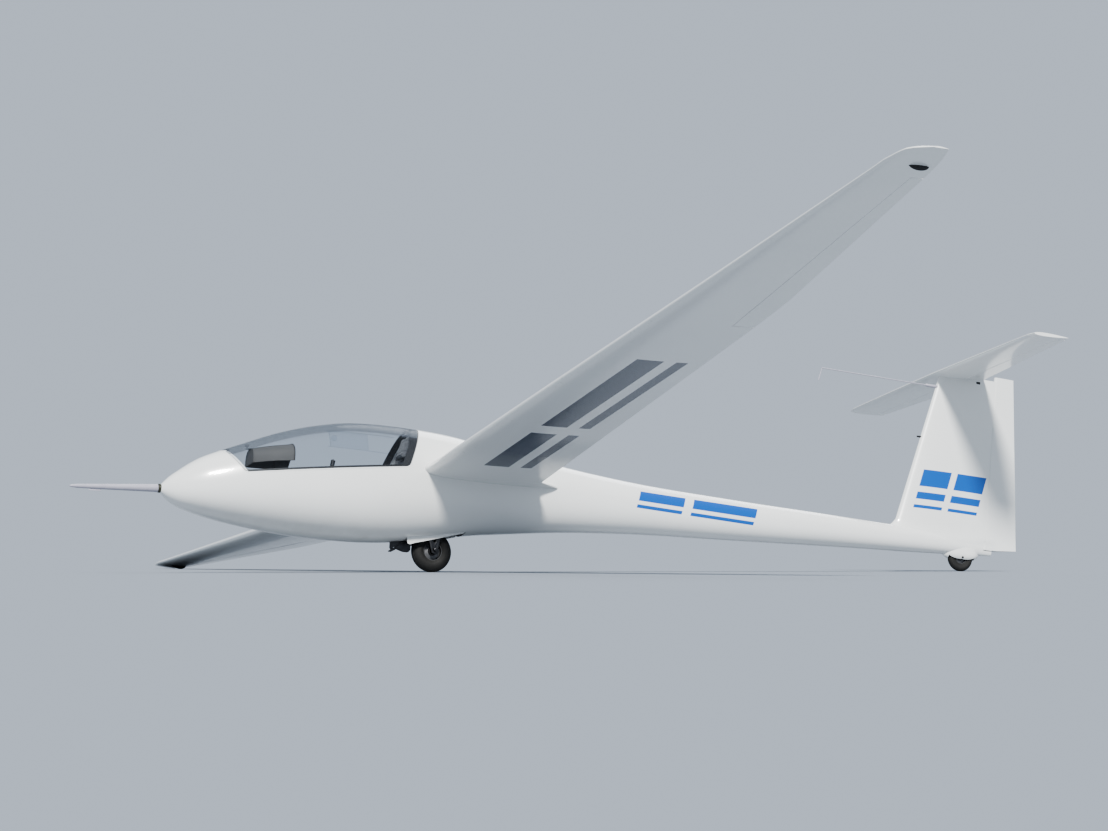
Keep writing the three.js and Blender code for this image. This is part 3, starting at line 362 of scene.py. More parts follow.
# %% [markdown]
# Seat cloth is woven. Two sets of threads cross, and where one rides over the other the surface rises and
# takes a slightly different colour, so a product of two sines stands for the weave.

# %% Woven cloth and webbing
THREAD_PITCH = 0.0028


def woven_paint(name, light, dark):
    paint = Paint(name, {"Roughness": 0.9, "Sheen Weight": 0.35, "Sheen Roughness": 0.5})
    where = paint.place()
    lengthwise, crosswise, upright = paint.axes(where)
    warp, weft = (paint.maths("SINE", way * (2 * math.pi / THREAD_PITCH))
                  for way in (lengthwise + upright, crosswise))
    threads = warp * weft
    worn = paint.noise(where, 14.0, 4.0)
    cloth = paint.mix(threads * 0.5 + 0.5, dark, light)
    paint.colour(paint.mix(worn * 0.35, cloth, light))
    paint.bump(threads, 0.0006)
    return paint


seat_cloth = woven_paint("blue_grey_seat_cloth", (0.075, 0.085, 0.115), (0.028, 0.032, 0.046))
headrest_cloth = woven_paint("grey_headrest_cloth", (0.13, 0.135, 0.15), (0.07, 0.073, 0.083))
roll_cloth = woven_paint("dark_blue_roll_cloth", (0.02, 0.03, 0.075), (0.008, 0.012, 0.035))
webbing = woven_paint("dark_webbing", (0.05, 0.055, 0.07), (0.02, 0.022, 0.03))
print("cloth thread every", THREAD_PITCH, "m")

# %% [markdown]
# The canopy is blown from clear acrylic. Most of the light goes straight through, a trace of haze lies on it,
# and it mirrors more where it is seen edge-on. A Mix Shader between clear and gloss does that: its factor is
# a small haze plus a share of the Fresnel weight.

# %% Clear acrylic
glass = Paint("clear_acrylic", {
    "Base Color": (0.16, 0.18, 0.21, 1), "Roughness": 0.025, "Specular IOR Level": 0.6})
clear = glass.node("ShaderNodeBsdfTransparent", {}, {"Color": (0.955, 0.968, 0.98, 1)})
gloss = Flow(glass, glass.shader.outputs["BSDF"])
edge_on = glass.node("ShaderNodeLayerWeight", {}, {"Blend": 0.18}, "Fresnel")
haze = 0.022 + glass.noise(glass.place(), 7.0) * 0.012
acrylic = glass.node("ShaderNodeMixShader", {}, {0: haze + edge_on * 0.55, 1: clear, 2: gloss})
glass.feed(glass.tree.nodes["Material Output"].inputs["Surface"], acrylic)
print("finishes", len(bpy.data.materials))

# %% [markdown]
# ## Selecting before doing
# An operator acts on whatever is selected, so every step starts from a clean choice: one piece, and in it
# either everything or just those corners or faces that a test picks out.

# %% One piece, all of it or a part of it
def deselect():
    bpy.ops.object.select_all(action="DESELECT")


def only(piece):
    deselect()
    piece.select_set(True)
    bpy.context.view_layer.objects.active = piece


def in_edit_mode(piece, *steps):
    """Opens the piece in edit mode with all of it selected and runs the steps."""
    only(piece)
    bpy.ops.object.mode_set(mode="EDIT")
    bpy.ops.mesh.select_mode(type="VERT")
    bpy.ops.mesh.select_all(action="SELECT")
    for step in steps:
        step()
    bpy.ops.object.mode_set(mode="OBJECT")


def on_chosen(piece, kind, chosen, step):
    """Runs a step in edit mode on just those corners (VERT) or faces (FACE) that chosen picks."""
    in_edit_mode(piece, lambda: bpy.ops.mesh.select_all(action="DESELECT"))
    for part in piece.data.vertices if kind == "VERT" else piece.data.polygons:
        part.select = chosen(part)
    bpy.ops.object.mode_set(mode="EDIT")
    bpy.ops.mesh.select_mode(type=kind)
    step()
    bpy.ops.object.mode_set(mode="OBJECT")


def face_outwards():
    bpy.ops.mesh.normals_make_consistent(inside=False)


# %% [markdown]
# ## Drawing a skin through sections
# Every big shape of the glider is a family of closed sections. A circle with one corner per point of a
# section is drawn out once for each further section, and then each loop is laid on its own section. A turned
# piece starts from the same circle, laid on an outline and spun about its axle.

# %% A skin through sections
def ring_of_corners(name, count):
    """A flat circle whose corners are about to be moved."""
    deselect()
    bpy.ops.mesh.primitive_circle_add(vertices=count, radius=1)
    piece = bpy.context.object
    piece.name = piece.data.name = name
    return piece


def corner_number(vertex, count):
    """Which corner of the circle a vertex is, or was before it was drawn out along z."""
    return round(math.atan2(vertex.co.y, vertex.co.x) / (2 * math.pi) * count) % count


def close_end(piece, section):
    """Fills the loop that lies on a section."""
    def rounded(point):
        return tuple(round(c, 5) for c in Vector(point))

    corners = {rounded(point) for point in section}
    on_chosen(piece, "VERT", lambda vertex: rounded(vertex.co) in corners, bpy.ops.mesh.edge_face_add)


def drawn_through(name, sections):
    """A closed skin through sections that all have the same number of points."""
    count = len(sections[0])
    piece = ring_of_corners(name, count)

    def draw_out():
        for _ in sections[1:]:
            bpy.ops.mesh.extrude_region_move(TRANSFORM_OT_translate={"value": (0, 0, 1)})

    in_edit_mode(piece, draw_out)
    for vertex in piece.data.vertices:
        vertex.co = sections[round(vertex.co.z)][corner_number(vertex, count)]
    for end in (sections[0], sections[-1]):
        close_end(piece, end)
    in_edit_mode(piece, face_outwards)
    return piece


def spun(name, profile, centre, steps):
    """A ring turned about a line along y through centre. The profile is a closed outline of (radius, y)."""
    piece = ring_of_corners(name, len(profile))
    for vertex in piece.data.vertices:
        radius, y = profile[corner_number(vertex, len(profile))]
        vertex.co = Vector(centre) + Vector((radius, y, 0))

    def turn_round():
        bpy.ops.mesh.spin(steps=steps, angle=2 * math.pi, center=centre, axis=(0, 1, 0))
        bpy.ops.mesh.select_all(action="SELECT")
        bpy.ops.mesh.remove_doubles(threshold=1e-5)
        face_outwards()

    in_edit_mode(piece, turn_round)
    return piece


# %% [markdown]
# ## Cutting and joining
# Openings, slots and fillets come from booleans, which Blender does as a modifier. A boolean can fail without
# a word, so each result is looked at: it must have faces, stay in its box and have no open edge.

# %% Modifiers and booleans
BOX_SLACK = 1e-4


def apply_modifier(piece, kind, **settings):
    only(piece)
    modifier = piece.modifiers.new(kind.lower(), kind)
    for key, value in settings.items():
        setattr(modifier, key, value)
    bpy.ops.object.modifier_apply(modifier=modifier.name)
    return piece


def box_of(piece):
    """The lowest and the highest corner of a piece."""
    corners = [v.co for v in piece.data.vertices]
    return [[pick(c[k] for c in corners) for k in range(3)] for pick in (min, max)]


def sound(piece, low, high):
    """A good result has faces, keeps inside the given box and has no open edge."""
    if not piece.data.polygons:
        return False
    found_low, found_high = box_of(piece)
    inside_box = all(found_low[k] > low[k] - BOX_SLACK and found_high[k] < high[k] + BOX_SLACK
                     for k in range(3))
    uses = {}
    for face in piece.data.polygons:
        for key in face.edge_keys:
            uses[key] = uses.get(key, 0) + 1
    return inside_box and all(count % 2 == 0 for count in uses.values())


def carve(piece, tool, operation="DIFFERENCE"):
    """Cuts, joins or overlaps with a tool. While the result isn't sound, other settings are tried.

    If none gives a sound result, the last one is kept as it is.
    """
    low, high = box_of(piece)
    if operation == "UNION":
        tool_low, tool_high = box_of(tool)
        low = [min(pair) for pair in zip(low, tool_low)]
        high = [max(pair) for pair in zip(high, tool_high)]
    before = piece.data.copy()
    for solver, own_overlaps in (("EXACT", False), ("EXACT", True), ("FAST", False), ("EXACT", True)):
        piece.data = before.copy()
        apply_modifier(piece, "BOOLEAN", object=tool, operation=operation, solver=solver,
                       use_self=own_overlaps, material_mode="TRANSFER")
        if sound(piece, low, high):
            break
        print("result not sound:", operation, piece.name, "with", tool.name, solver, own_overlaps)
    bpy.data.objects.remove(tool)
    return piece


def rounded_off(piece, width, segments=3):
    return apply_modifier(piece, "BEVEL", width=width, segments=segments, limit_method="ANGLE")


# %% Copying and joining
def copied(piece, name):
    only(piece)
    bpy.ops.object.duplicate()
    twin = bpy.context.object
    twin.name = twin.data.name = name
    return twin


def joined(name, pieces):
    """Several separate shapes as one piece."""
    only(pieces[0])
    for piece in pieces[1:]:
        piece.select_set(True)
    bpy.ops.object.join()
    pieces[0].name = pieces[0].data.name = name
    return pieces[0]


# %% [markdown]
# ## Blocks, slabs and rods
# Fittings and cutting tools come in three forms: a block with eight given corners, a slab with an outline in
# side view, and a round rod whose radius may change on its way.

# %% Blocks, slabs and rods
SIDES = ((-1, "left"), (1, "right"))


def beside(side, near, far):
    """The lower and the higher y of what lies between near and far on one side of the middle."""
    return sorted((side * near, side * far))


def block(name, corners):
    """A cube whose eight corners are given, low x first, then low y, then low z."""
    deselect()
    bpy.ops.mesh.primitive_cube_add(size=2)
    piece = bpy.context.object
    piece.name = piece.data.name = name
    for vertex in piece.data.vertices:
        i = (4 if vertex.co.x > 0 else 0) + (2 if vertex.co.y > 0 else 0) + (1 if vertex.co.z > 0 else 0)
        vertex.co = corners[i]
    return piece


def straight_block(name, xs, ys, zs, rounding=0.0):
    piece = block(name, [(x, y, z) for x in xs for y in ys for z in zs])
    return rounded_off(piece, rounding) if rounding else piece


def side_slab(name, outline, low, high):
    """A side-view outline of (x, z) points, drawn out across the body."""
    return drawn_through(name, [[(x, y, z) for x, z in outline] for y in (low, high)])


def across(x, z, *ys):
    """Points on a line across the body."""
    return [(x, y, z) for y in ys]


def rod(name, line, radii, sides=24):
    """A round rod along a nearly straight line of points, with one radius or a list with one for each."""
    points = [Vector(p) for p in line]
    if not isinstance(radii, list):
        radii = [radii] * len(points)
    way = (points[-1] - points[0]).normalized()
    one_way = way.orthogonal().normalized()
    other_way = way.cross(one_way)
    turns = [2 * math.pi * k / sides for k in range(sides)]
    return drawn_through(name, [
        [point + one_way * radius * math.cos(a) + other_way * radius * math.sin(a) for a in turns]
        for point, radius in zip(points, radii)])


# %% [markdown]
# ## Finishing a piece
# A finished piece is painted, shaded smooth except at its sharp edges, moved from the level frame to the
# stored one and attached to the body that carries it; the imported nodes that it stands for are hidden.

# %% Painting and settling
def painted(piece, paint):
    piece.data.materials.clear()
    piece.data.materials.append(paint.material)
    return piece


def settle(piece, paint, slot, *replaced, body="airframe", angle=35, even=False):
    """Finishes the piece. One that was cut with painted tools has its paints already, so paint is None."""
    if paint:
        painted(piece, paint)
    only(piece)
    bpy.ops.object.shade_smooth_by_angle(angle=math.radians(angle), keep_sharp_edges=False)
    if even:
        apply_modifier(piece, "WEIGHTED_NORMAL", keep_sharp=True, weight=90)
    piece.data.transform(stand)
    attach(piece, body)
    if replaced:
        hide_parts(*replaced)
    print(piece.name, "faces", len(piece.data.polygons))
    return piece


# %% [markdown]
# ## Stations
# Like the loft lines of a shipyard, a short table says how wide and high the body is at each station. A
# smooth curve through the rows gives the stations between them.

# %% Tables and curves
def row_after(table, x):
    """The number of the first row at or past x, and never the very first row."""
    return max(1, next((k for k, row in enumerate(table) if row[0] >= x - 1e-9), len(table) - 1))


def smooth_rows(table):
    """Gives a function that reads every column at any station, on a smooth curve through the rows."""
    def slope_at(i, column):
        if i == 0 or i == len(table) - 1:
            a, b = (0, 1) if i == 0 else (-2, -1)
            return (table[b][column] - table[a][column]) / (table[b][0] - table[a][0])
        before, here, after = table[i - 1:i + 2]
        left = (here[column] - before[column]) / (here[0] - before[0])
        right = (after[column] - here[column]) / (after[0] - here[0])
        share = (here[0] - before[0]) / (after[0] - before[0])
        return left * (1 - share) + right * share

    def read(x):
        i = row_after(table, x)
        a, b = table[i - 1], table[i]
        span = b[0] - a[0]
        t = (x - a[0]) / span
        values = []
        for column in range(1, len(a)):
            rise_a, rise_b = slope_at(i - 1, column) * span, slope_at(i, column) * span
            values.append((2 * t ** 3 - 3 * t ** 2 + 1) * a[column] + (t ** 3 - 2 * t ** 2 + t) * rise_a
                          + (3 * t ** 2 - 2 * t ** 3) * b[column] + (t ** 3 - t ** 2) * rise_b)
        return values
    return read


def straight_rows(table):
    """The same on straight lines between the rows."""
    def read(x):
        i = row_after(table, x)
        a, b = table[i - 1], table[i]
        t = (x - a[0]) / (b[0] - a[0])
        return [a[c] + (b[c] - a[c]) * t for c in range(1, len(a))]
    return read


def stations(start, end, step):
    """Evenly spaced from start to end, about a step apart."""
    count = max(1, round((end - start) / step))
    return [start + (end - start) * k / count for k in range(count + 1)]


# %% The body's table and its sections
# x, keel, crown, half width, height of the widest line
BODY_TABLE = [
    (0.014, -0.029, 0.030, 0.030, 0.0), (0.060, -0.068, 0.084, 0.074, 0.004),
    (0.120, -0.100, 0.136, 0.112, 0.010), (0.245, -0.136, 0.231, 0.168, 0.025),
    (0.405, -0.165, 0.313, 0.215, 0.045), (0.560, -0.184, 0.383, 0.247, 0.065),
    (0.810, -0.204, 0.492, 0.284, 0.095), (1.088, -0.211, 0.582, 0.306, 0.125),
    (1.290, -0.207, 0.625, 0.313, 0.150), (1.500, -0.195, 0.644, 0.313, 0.175),
    (1.700, -0.171, 0.648, 0.306, 0.205), (1.860, -0.143, 0.645, 0.298, 0.225),
    (2.050, -0.106, 0.635, 0.288, 0.240), (2.300, -0.052, 0.604, 0.266, 0.255),
    (2.550, -0.013, 0.572, 0.238, 0.268), (2.900, 0.040, 0.529, 0.200, 0.282),
    (3.500, 0.103, 0.477, 0.162, 0.290), (4.260, 0.151, 0.452, 0.136, 0.302),
    (5.110, 0.206, 0.438, 0.110, 0.322), (6.030, 0.261, 0.418, 0.066, 0.340),
    (6.240, 0.275, 0.412, 0.046, 0.343), (6.440, 0.289, 0.405, 0.022, 0.347)]
body_at = smooth_rows(BODY_TABLE)
BODY_START, BODY_END = BODY_TABLE[0][0], BODY_TABLE[-1][0]
NOSE_PART_END = 0.3
SQUARENESS = 2 / 2.3
RING_CORNERS = 72


def body_section(x, inset=0.0):
    keel, crown, half_width, widest = body_at(x)
    section = []
    for k in range(RING_CORNERS):
        angle = 2 * math.pi * k / RING_CORNERS
        sideways, up = math.cos(angle), math.sin(angle)
        reach = (crown - widest if up > 0 else widest - keel) - inset
        section.append((
            x,
            (half_width - inset) * math.copysign(abs(sideways) ** SQUARENESS, sideways),
            widest + reach * math.copysign(abs(up) ** SQUARENESS, up)))
    return section


def body_skin(name, inset, start, end):
    """The body's skin, moved inwards by inset, from one x to another. Stations are closer at the nose."""
    near_nose = [x for x in stations(BODY_START, NOSE_PART_END, 0.02) if start < x < min(NOSE_PART_END, end)]
    rest = [x for x in stations(NOSE_PART_END, BODY_END, 0.045) if start < x < end]
    return drawn_through(name, [body_section(x, inset) for x in [start, *near_nose, *rest, end]])


print("body from", BODY_START, "to", BODY_END, "greatest width", 2 * max(row[3] for row in BODY_TABLE))

# %% [markdown]
# ## Aerofoils
# Wing, fin and tailplane are all cut from the same family of rounded, tapering sections. Points crowd
# together at the nose, where the curve is tight, and at the trailing edge.

# %% Aerofoil sections
CREST = 0.4
AEROFOIL_STEPS = 32


def camber_line(u, camber):
    """The height of the middle line over the chord, highest at CREST."""
    if u < CREST:
        return camber / CREST ** 2 * (2 * CREST * u - u ** 2)
    return camber / (1 - CREST) ** 2 * (1 - 2 * CREST + 2 * CREST * u - u ** 2)


def half_thickness(u, thickness):
    """The usual four-digit thickness curve, with a trailing edge that is a few millimetres thick."""
    return 5 * thickness * (0.2969 * math.sqrt(u) - 0.126 * u - 0.3516 * u ** 2
                            + 0.2843 * u ** 3 - 0.1036 * u ** 4) + 0.0035 * u


def aerofoil(thickness, camber):
    """(share of chord, height over chord) points from the upper trailing edge round the nose."""
    points = []
    for k in range(2 * AEROFOIL_STEPS + 1):
        u = 0.5 + 0.5 * math.cos(math.pi * k / AEROFOIL_STEPS)
        half = (1 if k <= AEROFOIL_STEPS else -1) * half_thickness(u, thickness)
        points.append((u, camber_line(u, camber) + half))
    return points


def laid_section(read, y, height, camber=0.0):
    """A section of a wing or tailplane at y, from a table of edges and thickness."""
    leading, trailing, thickness = read(abs(y))
    chord = trailing - leading
    return [(leading + u * chord, y, height + w * chord) for u, w in aerofoil(thickness, camber)]


# %% Tables of the wing, the fin and the tailplane
# y, leading edge, trailing edge, thickness over chord
WING_TABLE = [
    (0.340, 1.838, 2.686, 0.155), (2.500, 1.868, 2.606, 0.152), (4.650, 1.908, 2.527, 0.150),
    (7.060, 1.940, 2.262, 0.135), (7.330, 1.953, 2.222, 0.125), (7.440, 1.996, 2.196, 0.110),
    (7.500, 2.090, 2.178, 0.100)]
wing_at = straight_rows(WING_TABLE)
wing_tip_at = smooth_rows(WING_TABLE[3:])
WING_ROOT_Y = 0.34
WING_ROOT_HEIGHT = 0.325
CAMBER = 0.03

# z, leading edge, trailing edge, thickness over chord
FIN_TABLE = [
    (0.320, 5.596, 6.654, 0.1), (0.800, 5.732, 6.634, 0.1), (1.240, 5.857, 6.613, 0.1),
    (1.672, 5.980, 6.594, 0.1)]
fin_at = straight_rows(FIN_TABLE)

# y, leading edge, trailing edge, thickness over chord
TAILPLANE_TABLE = [
    (0.0, 5.915, 6.330, 0.115), (0.700, 5.924, 6.292, 0.115), (1.420, 5.938, 6.244, 0.110),
    (1.500, 5.956, 6.232, 0.090)]
tailplane_at = straight_rows(TAILPLANE_TABLE)
TAILPLANE_HEIGHT = 1.632


def wing_height(y):
    return WING_ROOT_HEIGHT + (y - WING_ROOT_Y) * DIHEDRAL


def wing_section(y, side, read=wing_at):
    return laid_section(read, side * y, wing_height(y), CAMBER)


print("span of the wing", 2 * WING_TABLE[-1][0], "and of the tailplane", 2 * TAILPLANE_TABLE[-1][0])

# %% [markdown]
# ## Splitting a surface at its hinge
# A control surface turns about a line inside the section. Its nose is round about that line, and the part
# ahead has a hollow a little larger, so only a hairline shows. The same block, laid aft of the hinge line,
# cuts the moving part out of a copy and out of the whole.

# %% Cutting along a hinge line
HINGE_SHARES = (0, 0.15, 0.3, 0.5, 0.75, 1)
HINGE_GAP = 0.0035
HINGE_END_GAP = 0.006
NOSE_OVERLAP = 0.1
BLOCK_REACH, BLOCK_HALF_DEPTH = 0.5, 0.15


def split_at_hinge(whole, moving_name, start, end, read, thick):
    """Cuts the moving part out of the whole and returns it. thick is the way across the section."""
    way = (end - start).normalized()
    line = [start.lerp(end, share) for share in HINGE_SHARES]
    radii = []
    for point in line:
        leading, trailing, thickness = read(abs(point.y) if thick.z else point.z)
        chord = trailing - leading
        radii.append(0.97 * chord * half_thickness((point.x - leading) / chord, thickness))

    def aft_block(low, high, fore=0.0):
        corners = [
            p + Vector((x, 0, 0)) + thick * t
            for x in (-fore, BLOCK_REACH) for p in (low, high) for t in (-BLOCK_HALF_DEPTH, BLOCK_HALF_DEPTH)]
        if thick.y:
            corners = [corners[i] for i in (0, 2, 1, 3, 4, 6, 5, 7)]
        piece = block("aft_block", corners)
        in_edit_mode(piece, face_outwards)
        return piece

    inner_ends = start + way * HINGE_END_GAP, end - way * HINGE_END_GAP
    moving = copied(whole, moving_name)
    carve(moving, aft_block(*inner_ends), "INTERSECT")
    nose = rod("nose", line, radii, 48)
    carve(nose, aft_block(*inner_ends, NOSE_OVERLAP), "INTERSECT")
    carve(moving, nose, "UNION")
    carve(whole, aft_block(start, end))
    carve(whole, rod("hollow", line, [r + HINGE_GAP for r in radii], 48))
    return moving


# %% [markdown]
# ## Wings
# A wing is one long tapering skin with a straight trailing edge inboard, a break, and a raked tip. Only its
# sections at the breaks matter, since the mould is straight between them; the tip gets a few more.

# %% The airbrake's block and the aileron's hinge
BRAKE_LINE = 2.230
BRAKE_ENDS = (2.65, 3.85)
AILERON_HINGE = 0.785
AILERON_ENDS = (4.24, 7.04)


def brake_block(name, side, half, heights, margin):
    """A block on the airbrake's line, upright to the wing and shorter than the slot by margin at each end."""
    up = Vector((0, -side * math.sin(DIHEDRAL_ANGLE), math.cos(DIHEDRAL_ANGLE)))
    ys = beside(side, BRAKE_ENDS[0] + margin, BRAKE_ENDS[1] - margin)
    return block(name, [
        Vector((x, y, wing_height(abs(y)))) + up * height
        for x in (BRAKE_LINE - half, BRAKE_LINE + half) for y in ys for height in heights])


def aileron_hinge(y, side):
    leading, trailing, _ = wing_at(y)
    chord = trailing - leading
    height = wing_height(y) + camber_line(AILERON_HINGE, CAMBER) * chord
    return Vector((leading + AILERON_HINGE * chord, side * y, height))


# %% Wings, ailerons and airbrakes
TIP_CURVE_START = 7.1
WING_STATIONS = [*stations(WING_ROOT_Y, 7.06, 0.56), 7.2, 7.33, 7.37, 7.405, 7.44, 7.462, 7.480, 7.492, 7.500]

for side, hand in SIDES:
    wing = painted(drawn_through(f"wing_skin_{hand}", [
        wing_section(y, side, wing_at if y < TIP_CURVE_START else wing_tip_at) for y in WING_STATIONS]),
        wing_gelcoat)
    hinge_ends = [aileron_hinge(y, side) for y in AILERON_ENDS]
    aileron = split_at_hinge(wing, f"aileron_skin_{hand}", *hinge_ends, wing_at, Vector((0, 0, 1)))

    # The airbrake is an upright plate in a deep slot, with a cap cut from the wing's own skin
    cap_room = brake_block("cap_room", side, 0.0142, (0.036, 0.2), 0.003)
    brake = carve(copied(wing, f"airbrake_{hand}_cap"), cap_room, "INTERSECT")
    plate = painted(brake_block("plate", side, 0.0035, (-0.0145, 0.0365), 0.007), gelcoat)
    carve(wing, painted(brake_block("slot", side, 0.016, (-0.015, 0.2), 0), black_trim))
    carve(painted(brake, gelcoat), plate, "UNION")
    settle(wing, None, "gelcoat", f"wing_{hand}", even=True)
    settle(aileron, None, "gelcoat", f"aileron_{hand}", body=f"aileron_{hand}_body", even=True)
    settle(brake, None, "gelcoat", f"airbrake_{hand}", body=f"airbrake_{hand}_body")

# %% [markdown]
# ## Body, boom and fin
# The body grows out of the nose ring, swells round the seat and shrinks to a slim boom. Wing stubs and the
# fin grow out of it with soft fillets, so they are joined to it before anything is cut away.

# %% The body with its wing stubs
# y, growth of the chord, growth of the thickness
STUB_TABLE = [
    (0.12, 0.34, 1.9), (0.18, 0.29, 1.7), (0.215, 0.245, 1.54), (0.240, 0.20, 1.41), (0.262, 0.152, 1.29),
    (0.282, 0.105, 1.19), (0.300, 0.064, 1.11), (0.318, 0.028, 1.05), (0.330, 0.008, 1.015),
    (0.3397, 0.0, 1.0)]
AHEAD_SHARE = 0.2


def stub(side):
    """The wing root, flared where it meets the body, mostly aft of the trailing edge."""
    leading, trailing, thickness = wing_at(WING_ROOT_Y)
    chord = trailing - leading
    return drawn_through("stub", [
        [(leading + (u * (1 + growth) - growth * AHEAD_SHARE) * chord, side * y,
          WING_ROOT_HEIGHT + w * chord * swell) for u, w in aerofoil(thickness, CAMBER)]
        for y, growth, swell in STUB_TABLE])


body = painted(body_skin("body_skin", 0, BODY_START, BODY_END), body_gelcoat)
for side, _ in SIDES:
    carve(body, painted(stub(side), body_gelcoat), "UNION")
print("body with stubs, faces", len(body.data.polygons))

# %% Fin and rudder
# z, growth of the chord, growth of the thickness, greatest share of the boom's half width
FIN_SECTIONS = [
    (0.330, 0.16, 1.42, 0.93), (0.352, 0.13, 1.34, 0.985), (0.375, 0.10, 1.24, 1.03),
    (0.396, 0.068, 1.15, 1.2), (0.418, 0.040, 1.08, 2), (0.445, 0.018, 1.03, 9), (0.480, 0, 1, 9),
    (0.8, 0, 1, 9), (1.24, 0, 1, 9), (1.672, 0, 1, 9)]
RUDDER_HINGE = Vector((6.378, 0, 0.320)), Vector((6.449, 0, 1.672))


def fin_section(z, growth, swell, most):
    """most keeps the fin's foot inside the boom."""
    leading, trailing, thickness = fin_at(z)
    chord = trailing - leading
    section = []
    for u, w in aerofoil(thickness, 0):
        x, y = leading + (u * (1 + growth) - growth) * chord, w * chord * swell
        room = body_at(min(x, BODY_END))[2] * most
        section.append((x, max(-room, min(room, y)), z))
    return section


fin = painted(drawn_through("fin", [fin_section(*row) for row in FIN_SECTIONS]), body_gelcoat)
carve(body, fin, "UNION")
rudder = split_at_hinge(body, "rudder_skin", *RUDDER_HINGE, fin_at, Vector((0, 1, 0)))
carve(rudder, side_slab("foot_cut", [(6.445, 0.30), (6.67, 0.30), (6.67, 0.351), (6.445, 0.326)], -0.2, 0.2))
settle(rudder, None, "gelcoat", "rudder", body="rudder_body", even=True)

# %% [markdown]
# The tailplane sits on top of the fin. Its middle is fixed, and two elevator halves hinge behind it.

# %% Tailplane and elevators
ELEVATOR_HINGE = 6.172
ELEVATOR_ENDS = (0.046, 1.440)
half_span = [*stations(0, 1.42, 0.142), 1.45, 1.475, 1.49, 1.5]
tail_span = [-y for y in reversed(half_span[1:])] + half_span
tailplane = painted(drawn_through("tailplane_skin", [
    laid_section(tailplane_at, y, TAILPLANE_HEIGHT) for y in tail_span]), gelcoat)
carve(body, straight_block("fin_top", (5.4, 6.6), (-0.3, 0.3), (1.631, 1.9)))
carve(body, copied(tailplane, "seat_cutter"))
for side, hand in SIDES:
    hinge_ends = [Vector((ELEVATOR_HINGE, side * y, TAILPLANE_HEIGHT)) for y in ELEVATOR_ENDS]
    elevator = split_at_hinge(
        tailplane, f"elevator_skin_{hand}", *hinge_ends, tailplane_at, Vector((0, 0, 1)))
    settle(elevator, None, "gelcoat", f"elevator_{hand}", body="elevator_body", even=True)
settle(tailplane, None, "gelcoat", "stabiliser", even=True)

# %% [markdown]
# ## Canopy opening
# The canopy is one blown pane. Its outline in side view is a slanted front edge, a long sill and a rear arch.
# The same slab cuts the opening from the body and, a little smaller, the pane from the body's skin.

# %% The slab that cuts the canopy
FRONT_LOW, REAR_LOW = Vector((0.545, 0.143)), Vector((1.715, 0.322))
FRONT_WAY = (Vector((0.405, 0.313)) - FRONT_LOW).normalized()
SILL_WAY = (REAR_LOW - FRONT_LOW).normalized()
REAR_WAY = (Vector((1.822, 0.650)) - REAR_LOW).normalized()
CORNER_STEPS = 8


def canopy_slab(sill, rear=None, front=None, rounding=0.03):
    """The outline in side view with each edge moved inwards by its own distance and the corners rounded."""
    rear = sill if rear is None else rear
    front = sill if front is None else front

    def inner_corner(corner, way_in, way_out, inset_in, inset_out):
        return corner + (way_out * inset_in - way_in * inset_out) / way_in.cross(way_out)

    front_corner = inner_corner(FRONT_LOW, -FRONT_WAY, SILL_WAY, front, sill)
    rear_corner = inner_corner(REAR_LOW, SILL_WAY, REAR_WAY, sill, rear)
    outline = [front_corner + FRONT_WAY * 1.0]
    for corner, way_in, way_out in ((front_corner, -FRONT_WAY, SILL_WAY), (rear_corner, SILL_WAY, REAR_WAY)):
        for k in range(CORNER_STEPS + 1):
            t = k / CORNER_STEPS
            a, b = corner - way_in * rounding, corner + way_out * rounding
            outline.append(a * (1 - t) ** 2 + corner * 2 * t * (1 - t) + b * t ** 2)
    outline.append(rear_corner + REAR_WAY * 0.7)
    return side_slab("canopy_slab", [(p.x, p.y) for p in outline], -0.4, 0.4)


print("canopy sill", round((REAR_LOW - FRONT_LOW).length, 3), "m long")

# %% [markdown]
# The slab is given a marker material, which the cut leaves on the faces that it makes. Those faces are taken
# away again, so that the skin is open and can be given the thickness of the acrylic.

# %% The pane
PANE_INSET = 0.005
PANE_THICKNESS = 0.005
pane = painted(body_skin("canopy_pane", 0, 0.25, 2.1), glass)
marker = bpy.data.materials.new("cut_face")
slab = canopy_slab(PANE_INSET)
slab.data.materials.append(marker)
carve(pane, slab, "INTERSECT")
cut_slot = [i for i, m in enumerate(pane.data.materials) if m == marker]
on_chosen(pane, "FACE", lambda face: face.material_index in cut_slot,
          lambda: bpy.ops.mesh.delete(type="FACE"))
for face in pane.data.polygons:
    face.material_index = 0
painted(pane, glass)
bpy.data.materials.remove(marker)
apply_modifier(pane, "SOLIDIFY", thickness=PANE_THICKNESS, offset=-1)
settle(pane, glass, "clear_glass", "canopy_glass", body="canopy")

# %% [markdown]
# Behind the pane's edge runs a slim black frame, wider at the rear arch. It is the body's skin again, moved
# inwards twice: the outer copy less the inner one leaves a shell, and two canopy slabs leave only its border.
# Along the slanted front edge the frame is painted white, like the nose ahead of it.

# %% The frame with its front plate
UNDER_PANE = 0.0053


def inner_shell(name, outer, inner):
    return carve(body_skin(name, outer, 0.3, 2.1), body_skin("core", inner, 0.28, 2.12))


